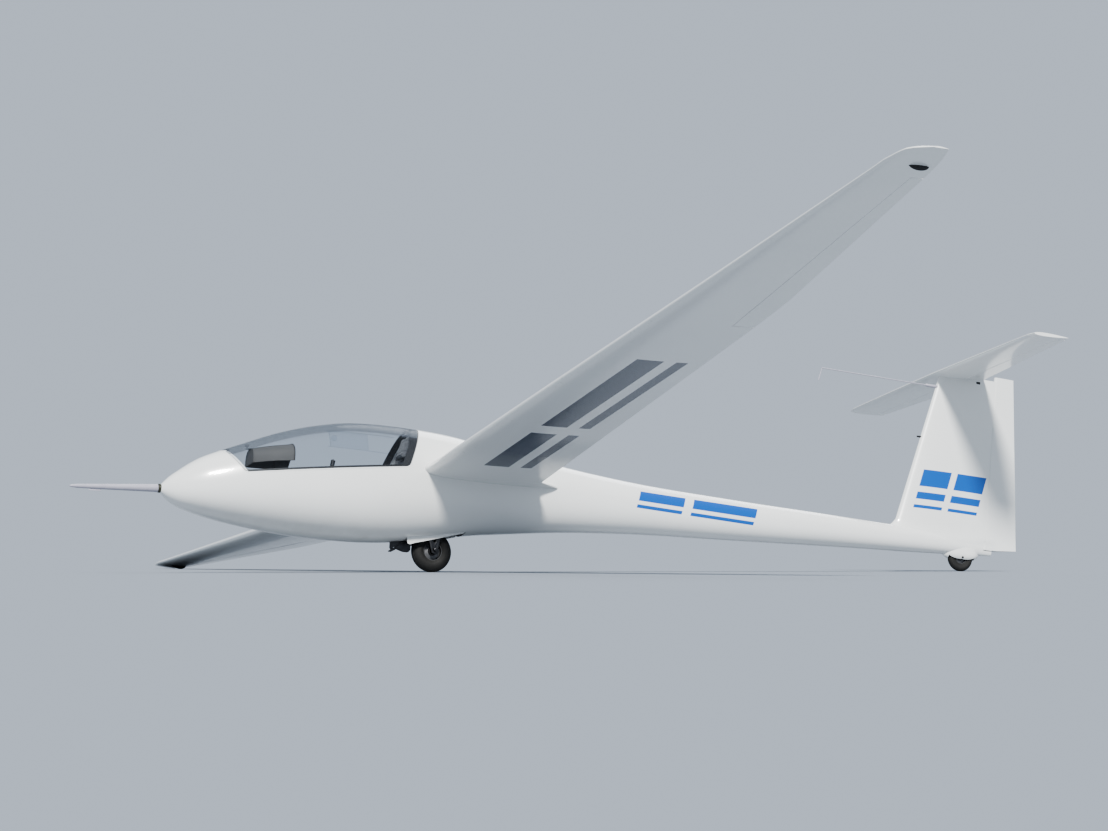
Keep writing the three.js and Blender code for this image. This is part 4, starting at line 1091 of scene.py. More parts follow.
rim = carve(inner_shell("canopy_rim", UNDER_PANE, 0.021), canopy_slab(PANE_INSET), "INTERSECT")
carve(rim, canopy_slab(0.016, 0.052, 0.019, rounding=0.025))
front_plate = carve(inner_shell("front_plate", UNDER_PANE, 0.020), canopy_slab(PANE_INSET), "INTERSECT")
carve(front_plate, canopy_slab(-0.5, -0.5, 0.050))
carve(front_plate, straight_block("plate_room", (0.3, 0.7), (-0.062, 0.062), (0.2, 0.5)), "INTERSECT")
carve(rim, front_plate, "UNION")
rim_paint = grained_paint("black_frame_with_white_front", *BLACK_PLASTIC)
rim_x, _, rim_z = rim_paint.axes(rim_paint.place())
from_front = (rim_x - FRONT_LOW.x) * FRONT_WAY.y - (rim_z - FRONT_LOW.y) * FRONT_WAY.x
past_front = rim_paint.step(from_front, 0.0185, 0.0195)
rim_paint.colour(rim_paint.mix(past_front, (0.80, 0.80, 0.78), rim_paint.base))
settle(rim, rim_paint, "black_trim", "canopy_frame", body="canopy")

# %% The two hinge arms
ARM_Y = 0.040
# (x, z) from the hinge down under the front edge and up to the frame's plate
ARM_LINE = [(0.285, 0.215), (0.330, 0.172), (0.462, 0.165), (0.462, 0.3175)]
arm_pieces = []
for y in (-ARM_Y, ARM_Y):
    for (x0, z0), (x1, z1) in zip(ARM_LINE, ARM_LINE[1:]):
        arm_pieces.append(rod("link", [(x0, y, z0), (x1, y, z1)], 0.005))
    for x, z in ARM_LINE[1:3]:
        arm_pieces.append(rod("knuckle", across(x, z, y - 0.006, y + 0.006), 0.0062))
    lug = [(0.0045, y - 0.006), (0.009, y - 0.006), (0.009, y + 0.006), (0.0045, y + 0.006)]
    arm_pieces.append(spun("lug", lug, (ARM_LINE[0][0], 0, ARM_LINE[0][1]), 32))
settle(joined("canopy_arms", arm_pieces), dark_steel, "dark_steel", body="canopy")

# %% A release knob on each side
RELEASE_X, RELEASE_Z = 1.16, 0.262
release_parts = []
for side, _ in SIDES:
    ball_ys = [side * (0.262 - d) for d in (0, 0.003, 0.009, 0.015, 0.018)]
    release_parts += [
        rod("stalk", across(RELEASE_X, RELEASE_Z, side * 0.276, ball_ys[0]), 0.004, 16),
        rod("ball", across(RELEASE_X, RELEASE_Z, *ball_ys), [0.004, 0.010, 0.0125, 0.010, 0.004])]
settle(joined("canopy_release", release_parts), black_trim, "black_trim", body="canopy", angle=60)

# %% [markdown]
# The port side of the pane has a sliding ventilation window: a slim second pane in two rails, with a small
# scoop at its front edge.

# %% The sliding window
def skin_patch(name, outer, inner, xs, zs):
    """A patch of a thin shell on the port side of the body's skin."""
    patch = body_skin(name, outer, xs[0] - 0.1, xs[1] + 0.1)
    carve(patch, body_skin("core", inner, xs[0] - 0.12, xs[1] + 0.12))
    return carve(patch, straight_block("patch_room", xs, (-0.35, -0.1), zs), "INTERSECT")


window = skin_patch("sliding_window", -0.0028, -0.0006, (1.135, 1.405), (0.395, 0.520))
settle(window, glass, "clear_glass", body="canopy")
rails = [skin_patch(name, -0.0045, -0.0004, xs, zs) for name, xs, zs in (
    ("rail", (1.115, 1.60), (0.3895, 0.3945)), ("rail", (1.115, 1.60), (0.5205, 0.5255)),
    ("stop", (1.128, 1.1345), (0.3945, 0.5205)))]
settle(joined("window_rails", rails), glass, "clear_glass", body="canopy")
scoop = rod("window_scoop", [(1.150, -0.2825, 0.452), (1.146, -0.3000, 0.452), (1.140, -0.3100, 0.452)],
            [0.022, 0.020, 0.004], 32)
settle(scoop, glass, "clear_glass", body="canopy")

# %% [markdown]
# The opening's edge on the body is a slim raised bead. It catches the light as one bright line round the
# pane.

# %% The bead round the opening
bead = inner_shell("opening_bead", -0.0016, 0.004)
carve(bead, canopy_slab(-0.008, rounding=0.033), "INTERSECT")
carve(bead, canopy_slab(-0.0004))
rounded_off(bead, 0.0012, 2)
settle(bead, gelcoat, "gelcoat", even=True)

# %% [markdown]
# ## The hollow inside
# The shell is a finger of glass fibre and foam round a space of air. An inner copy of the skin, cut off at
# the rear wall, is taken out of the body; its faces bring their own grey paint with them.

# %% The opening, the hollow inside and the two wheel wells
SHELL = 0.012
inside = painted(body_skin("inside", SHELL, 0.18, 2.0), interior)


def wall_line(setback):
    """The two ends, in side view, of a line like the canopy's rear edge but further aft."""
    foot = Vector((REAR_LOW.x + setback, REAR_LOW.y))
    return [tuple(foot + REAR_WAY * t) for t in (-0.56, 0.42)]


low, high = wall_line(0.034)
front_room = painted(side_slab("front_room", [(0.15, -0.4), low, high, (0.15, 0.9)], -0.4, 0.4), interior)
carve(inside, front_room, "INTERSECT")
carve(body, inside)
carve(body, painted(canopy_slab(0), gelcoat))
carve(body, painted(straight_block("well", (1.795, 2.225), (-0.098, 0.098), (-0.4, -0.028)), interior))
carve(body, painted(straight_block("tail_well", (6.075, 6.299), (-0.032, 0.032), (0.1, 0.357)), interior))
settle(body, None, "gelcoat", "fuselage_shell", "tail_boom", "fin", even=True)

# %% [markdown]
# The rear wall closes the cockpit behind the seat. It is a plate across the inner skin with two slots for the
# shoulder straps. What stands against the shell from inside is trimmed to a copy of the inner skin.

# %% Rear wall
AGAINST_SHELL = SHELL + 0.0003


def trimmed_to_shell(piece, start, end, inset=AGAINST_SHELL):
    """Keeps what lies inside the shell, from one x to another."""
    return carve(piece, body_skin("room", inset, start, end), "INTERSECT")


near_low, near_high = wall_line(0.0257)
far_low, far_high = wall_line(0.0337)
wall = body_skin("rear_wall", AGAINST_SHELL, 1.4, 2.05)
carve(wall, side_slab("wall_room", [near_low, far_low, far_high, near_high], -0.4, 0.4), "INTERSECT")
for side, _ in SIDES:
    carve(wall, straight_block("strap_slot", (1.6, 1.85), beside(side, 0.045, 0.098), (0.392, 0.404)))
settle(wall, wall_paint, "grey_interior", "rear_bulkhead")

# %% [markdown]
# ## The seat
# The seat is a moulded pan for lying back in. In side view it is one thin bent sheet; a smooth line through
# the bends and the same line a little lower make its outline. The front of it is cut away for the stick.

# %% Seat pan
SEAT_CURVE = [(0.960, -0.030), (1.090, -0.070), (1.240, -0.134), (1.330, -0.140), (1.420, -0.070)]
BACK_FOOT, BACK_TOP = (1.420, -0.070), (1.660, 0.262)


def eased(points, steps=6):
    """A smooth line through points."""
    last = len(points) - 1
    line = []
    for i in range(last):
        a, b, c, d = (Vector(points[max(0, min(last, i + k))]) for k in (-1, 0, 1, 2))
        for k in range(steps):
            t = k / steps
            line.append(b + (c - a) * (t / 2) + (a * 2 - b * 5 + c * 4 - d) * (t * t / 2)
                        + (b * 3 - a - c * 3 + d) * (t ** 3 / 2))
    return [*line, Vector(points[last])]


def on_line(a, b, share, y=0.0):
    """A point of the side view between a and b, at the given y."""
    return (a[0] + (b[0] - a[0]) * share, y, a[1] + (b[1] - a[1]) * share)


back_line = [on_line(BACK_FOOT, BACK_TOP, t) for t in (0.25, 0.5, 0.75, 1)]
upper = [tuple(p) for p in eased(SEAT_CURVE)] + [(x, z) for x, _, z in back_line]
lower = [(x + 0.006, z - 0.009) for x, z in reversed(upper)]
rolled_edge = [(x - 0.004, z + 0.013) for x, z in upper]
rolled_edge += [(x + 0.0045, z - 0.0065) for x, z in reversed(upper)]
seat =side_slab("seat_shell", upper + lower, -0.175, 0.175)
carve(seat, straight_block("stick_slot", (0.9, 1.222), (-0.060, 0.060), (-0.3, 0.05), 0.01))
seat_parts = [seat, straight_block("rib", (1.255, 1.325), (-0.060, 0.060), (-0.26, -0.146))]
seat_parts += [side_slab("lip", rolled_edge, *beside(side, 0.1745, 0.168)) for side, _ in SIDES]
for part in seat_parts:
    trimmed_to_shell(part, 0.5, 2.0)
settle(joined("seat_shell", seat_parts), interior, "grey_interior", "seat_pan")

# %% [markdown]
# ## Cushions
# A cushion is foam in a sewn cover: crowned in the middle, pulled in along its seams. The recipe is to
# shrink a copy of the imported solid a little, give it an even mesh, and blow it up as cloth with some pressure
# inside. How far a point may move is capped, and the sewn channels are pressed in afterwards.

# %% Blowing up a cushion
SHRINK = 0.005
MOST_MOVE = 0.009
VOXEL = 0.005
CHANNEL_WIDTH = 0.006
SWELL_FRAMES = 20


def puffed(pad):
    """Lets cloth swell for some frames and keeps the result, with every move capped."""
    cloth = pad.modifiers.new("stuffing", "CLOTH")
    cloth.settings.use_pressure = True
    cloth.settings.uniform_pressure_force = 4
    cloth.settings.effector_weights.gravity = 0
    cloth.point_cache.frame_start, cloth.point_cache.frame_end = 1, SWELL_FRAMES
    for moment in range(1, SWELL_FRAMES + 1):
        bpy.context.scene.frame_set(moment)
    swollen = pad.evaluated_get(bpy.context.evaluated_depsgraph_get()).data.vertices
    moves = [new.co - old.co for new, old in zip(swollen, pad.data.vertices)]
    for vertex, move in zip(pad.data.vertices, moves):
        vertex.co += move * min(1, MOST_MOVE / max(move.length, 1e-9))
    pad.modifiers.remove(cloth)
    bpy.context.scene.frame_set(1)


def cushion(name, node, paint, slot, channels, depth=0.004):
    """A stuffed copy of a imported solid. channels gives a point's distance from the nearest sewn channel."""
    pad = bpy.data.objects.new(name, nodes[node].data.copy())
    bpy.context.scene.collection.objects.link(pad)
    pad.data.transform(level)
    in_edit_mode(
        pad, lambda: bpy.ops.mesh.remove_doubles(threshold=1e-5),
        lambda: bpy.ops.transform.shrink_fatten(value=-SHRINK, use_even_offset=True))
    pad.data.remesh_voxel_size = VOXEL
    bpy.ops.object.voxel_remesh()
    apply_modifier(pad, "SMOOTH", factor=0.5, iterations=8)
    puffed(pad)
    apply_modifier(pad, "SUBSURF", levels=1, render_levels=1)
    pressed = [v.co - v.normal * depth * math.exp(-(channels(v.co) / CHANNEL_WIDTH) ** 2)
               for v in pad.data.vertices]
    for vertex, place in zip(pad.data.vertices, pressed):
        vertex.co = place
    settle(pad, paint, slot, node, angle=180)


# %% The three cushions
BACK_WAY = (Vector(BACK_TOP) - Vector(BACK_FOOT)).normalized()


def up_the_back(point):
    return (point.x - BACK_FOOT[0]) * BACK_WAY.x + (point.z - BACK_FOOT[1]) * BACK_WAY.y


def nearest(value, lines):
    return min(abs(value - line) for line in lines)


cushion("seat_pad", "seat_cushion", seat_cloth, "seat_fabric", lambda p: nearest(p.y, (-0.08, 0, 0.08)))
cushion("back_pad", "back_cushion", seat_cloth, "seat_fabric",
        lambda p: nearest(up_the_back(p), (0.095, 0.17, 0.245, 0.32)))
cushion("head_pad", "headrest", headrest_cloth, "grey_interior",
        lambda p: nearest(p.z, (0.470, 0.552)), 0.003)

# %% [markdown]
# A dark rolled cloth lies on the headrest under the rear of the pane. It is a short fat rod whose radius
# wanders, as a roll held by two ties does.

# %% Roll on the headrest
ROLL_X, ROLL_HEIGHT, ROLL_RADIUS = 1.772, 0.6085, 0.0125
roll_line, roll_radii = [], []
for y in stations(-0.075, 0.075, 0.006):
    end_share = min(1, (0.0775 - abs(y)) / 0.014)
    tie = 0.0022 * math.exp(-((abs(y) - 0.04) / 0.004) ** 2)
    roll_line.append((ROLL_X, y, ROLL_HEIGHT + 0.0008 * math.sin(y * 90)))
    roll_radii.append(ROLL_RADIUS * math.sqrt(max(0.05, end_share)) + 0.0006 * math.sin(y * 160) - tie)
roll = settle(rod("head_roll", roll_line, roll_radii, 32), roll_cloth, "seat_fabric", angle=180)

# %% [markdown]
# Four straps meet in a round buckle over the seat cushion: two come through the rear wall and lie down the
# back cushion, two come from the sides of the pan. A strap is a thin flat section drawn along a smooth line.

# %% Harness
def strap(name, points, sideways, width, thickness=0.0016):
    line = eased([Vector(p) for p in points], 8)
    sideways = Vector(sideways).normalized()
    sections = []
    for i, point in enumerate(line):
        ahead = line[min(i + 1, len(line) - 1)] - line[max(i - 1, 0)]
        out = ahead.cross(sideways).normalized() * thickness / 2
        half = sideways * width / 2
        sections.append([point - half - out, point + half - out, point + half + out, point - half + out])
    return drawn_through(name, sections)


def off_back(along, off, y):
    """A point at a distance along the seat's back and off it."""
    return (BACK_FOOT[0] + BACK_WAY.x * along - BACK_WAY.y * off, y,
            BACK_FOOT[1] + BACK_WAY.y * along + BACK_WAY.x * off)


# along the back, off it, y
SHOULDER_LINE = [(0.425, 0.062, 0.071), (0.37, 0.0465, 0.070), (0.25, 0.0450, 0.066), (0.14, 0.0450, 0.055),
                 (0.075, 0.052, 0.036)]
straps = []
for side, _ in SIDES:
    straps.append(strap("shoulder_strap", [
        (1.7330, side * 0.0715, 0.398), (1.700, side * 0.0715, 0.388),
        *(off_back(along, off, side * y) for along, off, y in SHOULDER_LINE)], (0, 1, 0), 0.042))
    straps.append(strap("lap_strap", [
        (1.425, side * 0.1660, -0.040), (1.398, side * 0.150, 0.008), (1.387, side * 0.100, 0.024),
        (1.384, side * 0.034, 0.026)], (0.8, 0, 0.6), 0.040))
settle(joined("harness_straps", straps), webbing, "seat_fabric", angle=50)
buckle = rod("harness_buckle", [off_back(0.072, 0.050 + d, 0) for d in (0, 0.002, 0.012, 0.015, 0.0155)],
             [0.030, 0.033, 0.033, 0.030, 0.012], 48)
settle(buckle, cast_alloy, "cast_alloy")

# %% [markdown]
# ## Panel, hood and console
# The hood over the instruments is the dark shape that shows through the pane. It is a thin arch, flat-sided
# with round shoulders, open towards the seat; the panel closes it and stands on a narrow console.

# %% Hood
# x, half width, height of the top, height from foot to top
HOOD_TABLE = [(0.632, 0.100, 0.359, 0.113), (0.760, 0.160, 0.389, 0.125), (0.905, 0.185, 0.418, 0.137)]
hood_at = smooth_rows(HOOD_TABLE)
HOOD_START, HOOD_END = HOOD_TABLE[0][0], HOOD_TABLE[-1][0]
ARCH_STEPS = 40
ROUND_SHOULDER = 2 / 3


def hood_arch(x, inset, read=hood_at):
    """The points of the arch from one foot over the top to the other."""
    half, top, height = read(x)
    points = []
    for k in range(ARCH_STEPS + 1):
        sideways, up = math.cos(math.pi * k / ARCH_STEPS), math.sin(math.pi * k / ARCH_STEPS)
        points.append((x, (half - inset) * math.copysign(abs(sideways) ** ROUND_SHOULDER, sideways),
                       top - height + (height - inset) * max(0, up) ** ROUND_SHOULDER))
    return points


def closed_arch(x, inset, drop):
    """The arch with two more points below its feet."""
    arch = hood_arch(x, inset)
    (_, right, foot), (_, left, _) = arch[0], arch[-1]
    return [*arch, (x, left, foot - drop), (x, right, foot - drop)]


hood = drawn_through("instrument_hood", [
    closed_arch(x, 0, 0.0005) for x in stations(HOOD_START, HOOD_END, 0.021)])
hollow_arches = [closed_arch(x, 0.006, 0.02) for x in (0.640, *stations(0.645, HOOD_END, 0.02))]
hollow_arches.append([(0.93, y, z) for _, y, z in hollow_arches[-1]])
carve(hood, drawn_through("hollow", hollow_arches))
rounded_off(hood, 0.0015, 2)
settle(hood, hood_paint, "black_trim", "glare_shield")
trim_arch = hood_arch(HOOD_END, -0.0006)
trim = joined("hood_edge", [rod("edge", [a, b], 0.0034, 12) for a, b in zip(trim_arch, trim_arch[1:])])
settle(trim, black_trim, "black_trim", angle=60)
bracket = joined("hood_bracket", [
    straight_block("foot", (0.602, 0.640), (-0.022, 0.022), (0.3555, 0.3595), 0.001),
    straight_block("post", (0.606, 0.614), (-0.006, 0.006), (0.3590, 0.373), 0.002),
    straight_block("head", (0.594, 0.622), (-0.017, 0.017), (0.371, 0.386), 0.005)])
settle(bracket, black_trim, "black_trim")

# %% Panel
PANEL_FACE = 0.880
PANEL_THICKNESS = 0.012
panel = drawn_through("panel_plate", [
    [*hood_arch(x, 0.0066, straight_rows(HOOD_TABLE)), (x, -0.095, 0.2063), (x, 0.095, 0.2063)]
    for x in (PANEL_FACE - PANEL_THICKNESS, PANEL_FACE)])
rounded_off(panel, 0.0012, 2)
settle(panel, black_trim, "black_trim", "instrument_panel")

# %% Dials and knobs
# y, z, radius and the angle of the needle
DIALS = [(-0.102, 0.326, 0.036, 0.6), (0, 0.352, 0.036, -1.1), (0.102, 0.326, 0.036, 2.2),
         (-0.044, 0.266, 0.026, -0.5), (0.044, 0.266, 0.026, 1.4)]
KNOBS = [(-0.085, 0.232), (0.085, 0.232), (0, 0.228), (-0.058, 0.380), (0.058, 0.380)]
TICKS = 12


def on_panel(y, z, radius, angle, lift):
    """A point of a dial, clockwise from its top, lifted off the panel."""
    return (PANEL_FACE + lift, y + radius * math.sin(angle), z + radius * math.cos(angle))


bezels, marks = [], []
for y, z, radius, lean in DIALS:
    bezels.append(rod("bezel", [(PANEL_FACE + d, y, z) for d in (-0.001, 0.004, 0.006, 0.006, 0.003, 0.003)],
                      [radius, radius, radius - 0.002, radius - 0.005, radius - 0.006, 0.002], 48))
    for tick in range(TICKS):
        ends = radius - (0.016 if tick % 3 == 0 else 0.0125), radius - 0.0085
        angle = 2 * math.pi * tick / TICKS
        marks.append(rod("tick", [on_panel(y, z, r, angle, 0.0034) for r in ends], 0.0007, 6))
    marks.append(rod("needle", [on_panel(y, z, r, lean, 0.0045) for r in (0, radius - 0.013)],
                     [0.0013, 0.0004], 6))
settle(joined("dial_bezels", bezels), black_trim, "black_trim")
settle(joined("dial_marks", marks), dial_white, "black_trim", angle=80)
knobs = [rod("knob", [(PANEL_FACE + d, y, z) for d in (-0.001, 0.010, 0.012)], [0.006, 0.0055, 0.0035], 20)
         for y, z in KNOBS]
settle(joined("panel_knobs", knobs), cast_alloy, "cast_alloy")

# %% Console
# z, front, back, half width
console_at = smooth_rows([
    (-0.230, 0.700, 0.820, 0.066), (0.060, 0.720, 0.842, 0.062), (0.206, 0.790, 0.880, 0.095)])
console = drawn_through("console_body", [
    [(front, -half, z), (back, -half, z), (back, half, z), (front, half, z)]
    for z in stations(-0.230, 0.2058, 0.05) for front, back, half in [console_at(z)]])
rounded_off(console, 0.008)
settle(trimmed_to_shell(console, 0.5, 1.2), black_trim, "black_trim", "instrument_console")
radio_parts = [straight_block("radio", (0.842, 0.858), (-0.034, 0.034), (0.100, 0.150), 0.003)]
radio_parts += [rod("dial_knob", [(0.857 + d, y, 0.125) for d in (0, 0.010, 0.012)], [0.008, 0.007, 0.005])
                for y in (-0.022, 0.022)]
settle(joined("console_radio", radio_parts), probe_tube, "black_trim")

# %% [markdown]
# ## Stick, lever and pedals
# The stick rises in front of the seat with a moulded grip on top and a rubber boot at its foot. The blue
# lever on the port wall works the airbrakes, and two pedals in the nose turn the rudder.

# %% Stick
STICK_FOOT, STICK_TOP = (1.150, -0.205), (1.236, 0.300)
GRIP_FOOT, GRIP_TOP = (1.2325, 0.283), (1.2430, 0.360)
# share of the grip's length, radius
GRIP_SHAPE = [
    (0, 0.011), (0.03, 0.0145), (0.12, 0.0152), (0.22, 0.0140), (0.34, 0.0158), (0.46, 0.0145),
    (0.58, 0.0162), (0.72, 0.0152), (0.84, 0.0168), (0.94, 0.0158), (0.985, 0.0125), (1.0, 0.008)]
shaft = rod("stick_shaft", [on_line(STICK_FOOT, STICK_TOP, t) for t in (0, 0.5, 1)], 0.009)
settle(trimmed_to_shell(shaft, 0.8, 1.6), dark_steel, "dark_steel", "control_stick")
grip = rod("stick_grip", [on_line(GRIP_FOOT, GRIP_TOP, t) for t, _ in GRIP_SHAPE],
           [radius for _, radius in GRIP_SHAPE], 32)
settle(grip, black_trim, "black_trim", angle=60)
thumb = rod("talk_button", [on_line((1.2430, 0.3595), (1.2434, 0.3630), t) for t in (0, 0.7, 1)],
            [0.005, 0.005, 0.004], 20)
settle(thumb, black_trim, "black_trim")
FOLDS = range(11)
boot = rod("stick_boot", [on_line(STICK_FOOT, STICK_TOP, 0.02 + 0.013 * k) for k in FOLDS],
           [0.046 - 0.003 * k + (0.004 if k % 2 else 0) for k in FOLDS], 40)
settle(trimmed_to_shell(boot, 0.8, 1.6, SHELL + 0.0005), tyre_rubber, "black_trim", angle=60)

# %% Airbrake lever
lever_arm = rod("arm", across(1.100, 0.070, -0.330, -0.262), 0.007)
lever = joined("brake_lever", [
    trimmed_to_shell(lever_arm, 0.8, 1.6),
    rod("handle", [(x, -0.262, 0.070) for x in (1.040, 1.043, 1.055, 1.165, 1.177, 1.180)],
        [0.004, 0.0075, 0.0085, 0.0085, 0.0075, 0.004])])
settle(lever, blue_lever, "blue_paint", "airbrake_lever")

# %% Pedals
pedal_bar = rod("pedal_bar", across(0.640, 0.020, -0.120, 0.120), 0.008)
pedal_post = straight_block("post", (0.628, 0.652), (-0.012, 0.012), (-0.24, 0.024), 0.003)
pedal_parts = [pedal_bar, pedal_post]
for side, _ in SIDES:
    ys = beside(side, 0.050, 0.130)
    pedal_parts.append(straight_block("pedal_plate", (0.634, 0.646), ys, (0.020, 0.130), 0.004))
    pedal_parts.append(straight_block("heel_rest", (0.640, 0.655), ys, (0.020, 0.030), 0.002))
    pedal_parts += [rod("rib", across(0.6465, z, ys[0] + 0.008, ys[1] - 0.008), 0.002, 10)
                    for z in stations(0.045, 0.120, 0.015)]
trimmed_to_shell(pedal_post, 0.4, 1.0)
settle(joined("pedal_pair", pedal_parts), cast_alloy, "cast_alloy", "rudder_pedals")

# %% [markdown]
# ## Wheels
# A tyre is a ring: its outline is drawn once and spun about the axle. Grooves round the tread are steps in
# that outline. The rim inside it is a second ring, and bolts are small rods set round a circle.

# %% The outlines of a tyre and its rim
BEAD_SHARE = 0.72


def tyre_outline(radius, half, bead, grooves):
    """(radius, y) points. bead is the radius where the tyre sits on its rim, grooves are y values."""
    angles = set(stations(-100, 100, 5))
    for groove in grooves:
        for edge in (-0.0022, -0.0015, 0.0015, 0.0022):
            angles.add(math.degrees(math.asin((groove + edge) / half)))
    outline = [(bead, -BEAD_SHARE * half)]
    for angle in sorted(angles):
        y = half * math.sin(math.radians(angle))
        sunk = 0.003 if any(abs(y - groove) < 0.0017 for groove in grooves) else 0
        outline.append((radius - half + half * math.cos(math.radians(angle)) - sunk, y))
    return [*outline, (bead, BEAD_SHARE * half)]


def rim_outline(half, bead, bore):
    """The rim's flange, its dish and its hub, down to the bore, and the same mirrored."""
    edge = bead - 0.0004
    side = [(edge, BEAD_SHARE * half), (edge - 0.0035, BEAD_SHARE * half), (edge - 0.006, 0.60 * half),
            (0.82 * bead, 0.36 * half), (0.56 * bead, 0.32 * half), (0.48 * bead, 0.44 * half),
            (0.44 * bead, 0.84 * half), (0.40 * bead, 0.90 * half), (bore, 0.90 * half)]
    return side + [(r, -y) for r, y in reversed(side)]


def bolts(centre, circle, reach, count, radius):
    made = []
    for k in range(count):
        angle = 2 * math.pi * k / count
        x, z = centre[0] + circle * math.sin(angle), centre[2] + circle * math.cos(angle)
        made.append(rod("bolt", across(x, z, -reach, reach), radius, 6))
    return made


# %% Main wheel
main_tyre = spun("main_tyre_tread", tyre_outline(0.147, 0.050, 0.068, (-0.024, -0.008, 0.008, 0.024)),
                 MAIN_HUB, 120)
settle(main_tyre, tyre_rubber, "tyre_rubber", "main_tyre", body="main_wheel")
main_rim = joined("main_rim", [
    spun("rim", rim_outline(0.050, 0.068, 0.0104), MAIN_HUB, 72), *bolts(MAIN_HUB, 0.046, 0.0205, 6, 0.0045)])
settle(main_rim, rim_alloy, "cast_alloy", "main_wheel_hub", body="main_wheel")
disc = spun("brake_disc", [(0.030, 0.0535), (0.056, 0.0535), (0.056, 0.0575), (0.030, 0.0575)], MAIN_HUB, 72)
disc_hat = spun(
    "disc_hat", [(0.0104, 0.0452), (0.032, 0.0452), (0.032, 0.0573), (0.0104, 0.0573)], MAIN_HUB, 48)
settle(joined("brake_disc", [disc, disc_hat]), dark_steel, "dark_steel", body="main_wheel")


def axle_rod(name, hub, ys, radii, sides):
    return rod(name, across(hub.x, hub.z, *ys), radii, sides)


axle = joined("axle_and_nuts", [
    axle_rod("axle", MAIN_HUB, (-0.0965, -0.0955, 0.0955, 0.0965), [0.008, 0.010, 0.010, 0.008], 40),
    axle_rod("nut", MAIN_HUB, (-0.0935, -0.0835), 0.016, 6),
    axle_rod("nut", MAIN_HUB, (0.0835, 0.0935), 0.016, 6)])
settle(axle, dark_steel, "dark_steel", "main_axle")

# %% Tail wheel
tail_tyre = spun("tail_tyre_tread", tyre_outline(0.100, 0.026, 0.044, (-0.008, 0.008)), TAIL_HUB, 96)
settle(tail_tyre, tyre_rubber, "tyre_rubber", "tail_tyre", body="tail_wheel")
tail_rim = joined("tail_rim", [
    spun("rim", rim_outline(0.026, 0.044, 0.0064), TAIL_HUB, 56), *bolts(TAIL_HUB, 0.030, 0.0120, 5, 0.003)])
settle(tail_rim, rim_alloy, "cast_alloy", "tail_wheel_hub", body="tail_wheel")

# %% [markdown]
# The gear legs are plates with rounded edges and two lightening holes. A brake caliper reaches over the disc
# on the starboard side. The doors hang open from the edges of the well and curl in towards their lower edges.

# %% Legs and caliper
# (x, z) round a leg in side view
LEG = [(1.930, -0.0283), (1.938, -0.060), (1.988, -0.226), (1.998, -0.232), (2.022, -0.232), (2.032, -0.226),
       (2.054, -0.060), (2.060, -0.0283)]
for side, hand in SIDES:
    leg = side_slab(f"gear_leg_plate_{hand}", LEG, *beside(side, 0.068, 0.082))
    for x, z, radius in ((1.996, -0.085, 0.020), (2.005, -0.140, 0.013), (MAIN_HUB.x, MAIN_HUB.z, 0.0103)):
        carve(leg, rod("hole", across(x, z, -0.2, 0.2), radius, 32))
    rounded_off(leg, 0.0015, 2)
    settle(leg, dark_steel, "dark_steel", f"gear_leg_{hand}")
caliper = joined("brake_caliper", [
    straight_block("outer_half", (1.955, 1.992), (0.0590, 0.0675), (-0.185, -0.150), 0.003),
    straight_block("bridge", (1.950, 1.990), (0.0500, 0.0675), (-0.146, -0.138), 0.002)])
settle(caliper, cast_alloy, "cast_alloy")

# %% Gear doors
# x, height of the lower edge
door_edge_at = smooth_rows([
    (1.7953, -0.166), (1.799, -0.179), (1.808, -0.1865), (1.850, -0.1755), (1.940, -0.1492),
    (2.030, -0.1212), (2.120, -0.0925), (2.190, -0.0705), (2.212, -0.0635), (2.220, -0.0570)])
DOOR_STATIONS = [1.7955, 1.797, 1.799, 1.802, 1.808, 1.82, *stations(1.835, 2.19, 0.02),
                 2.2, 2.207, 2.212, 2.216, 2.22]
DOOR_INNER, DOOR_OUTER = 0.0920, 0.0952
DOOR_STEPS = 8


def door_section(x, side):
    """A thin plate across the airflow, upright at its hinge and curling in towards its lower edge."""
    top = -0.096 + (x - 1.755) * 0.1285
    bottom, = door_edge_at(x)
    outer, inner = [], []
    for k in range(DOOR_STEPS + 1):
        share = k / DOOR_STEPS
        z = top + (bottom - top) * share
        bulge = 0.0025 * math.sin(math.pi * share) - 0.003 * share ** 3
        outer.append((x, side * (DOOR_OUTER + bulge), z))
        inner.append((x, side * (DOOR_INNER + bulge), z))
    return outer + inner[::-1]


for side, hand in SIDES:
    door = drawn_through(f"gear_door_skin_{hand}", [door_section(x, side) for x in DOOR_STATIONS])
    settle(door, gelcoat, "gelcoat", f"gear_door_{hand}")
    hinges = [straight_block("door_hinge", (x, x + 0.03), beside(side, 0.0885, 0.0922), (z, z + 0.012), 0.001)
              for x, z in ((1.84, -0.101), (2.04, -0.074), (2.16, -0.058))]
    settle(joined(f"door_hinges_{hand}", hinges), dark_steel, "dark_steel")

# %% [markdown]
# Ahead of the wheel hangs the tow hook: two side plates with the beak between them. At the tail a boat-shaped
# fairing covers the upper half of the small wheel.

# %% Tow hook
# (x, z) round a side plate and round the beak
HOOK_PLATE = [(1.6925, -0.120), (1.6925, -0.236), (1.699, -0.240), (1.716, -0.2395), (1.752, -0.216),
              (1.790, -0.2065), (1.800, -0.2295), (1.838, -0.2295), (1.8495, -0.214), (1.8495, -0.120)]
BEAK = [(1.700, -0.120), (1.700, -0.212), (1.712, -0.232), (1.726, -0.226), (1.722, -0.208),
        (1.750, -0.196), (1.800, -0.198), (1.832, -0.212), (1.836, -0.120)]
hook_parts = [side_slab("hook_plate", HOOK_PLATE, *beside(side, 0.0115, 0.016)) for side, _ in SIDES]
for plate in hook_parts:
    carve(plate, rod("hole", across(1.748, -0.192, -0.1, 0.1), 0.007))
    rounded_off(plate, 0.001, 2)
hook_parts.append(rounded_off(side_slab("beak", BEAK, -0.0105, 0.0105), 0.002, 2))
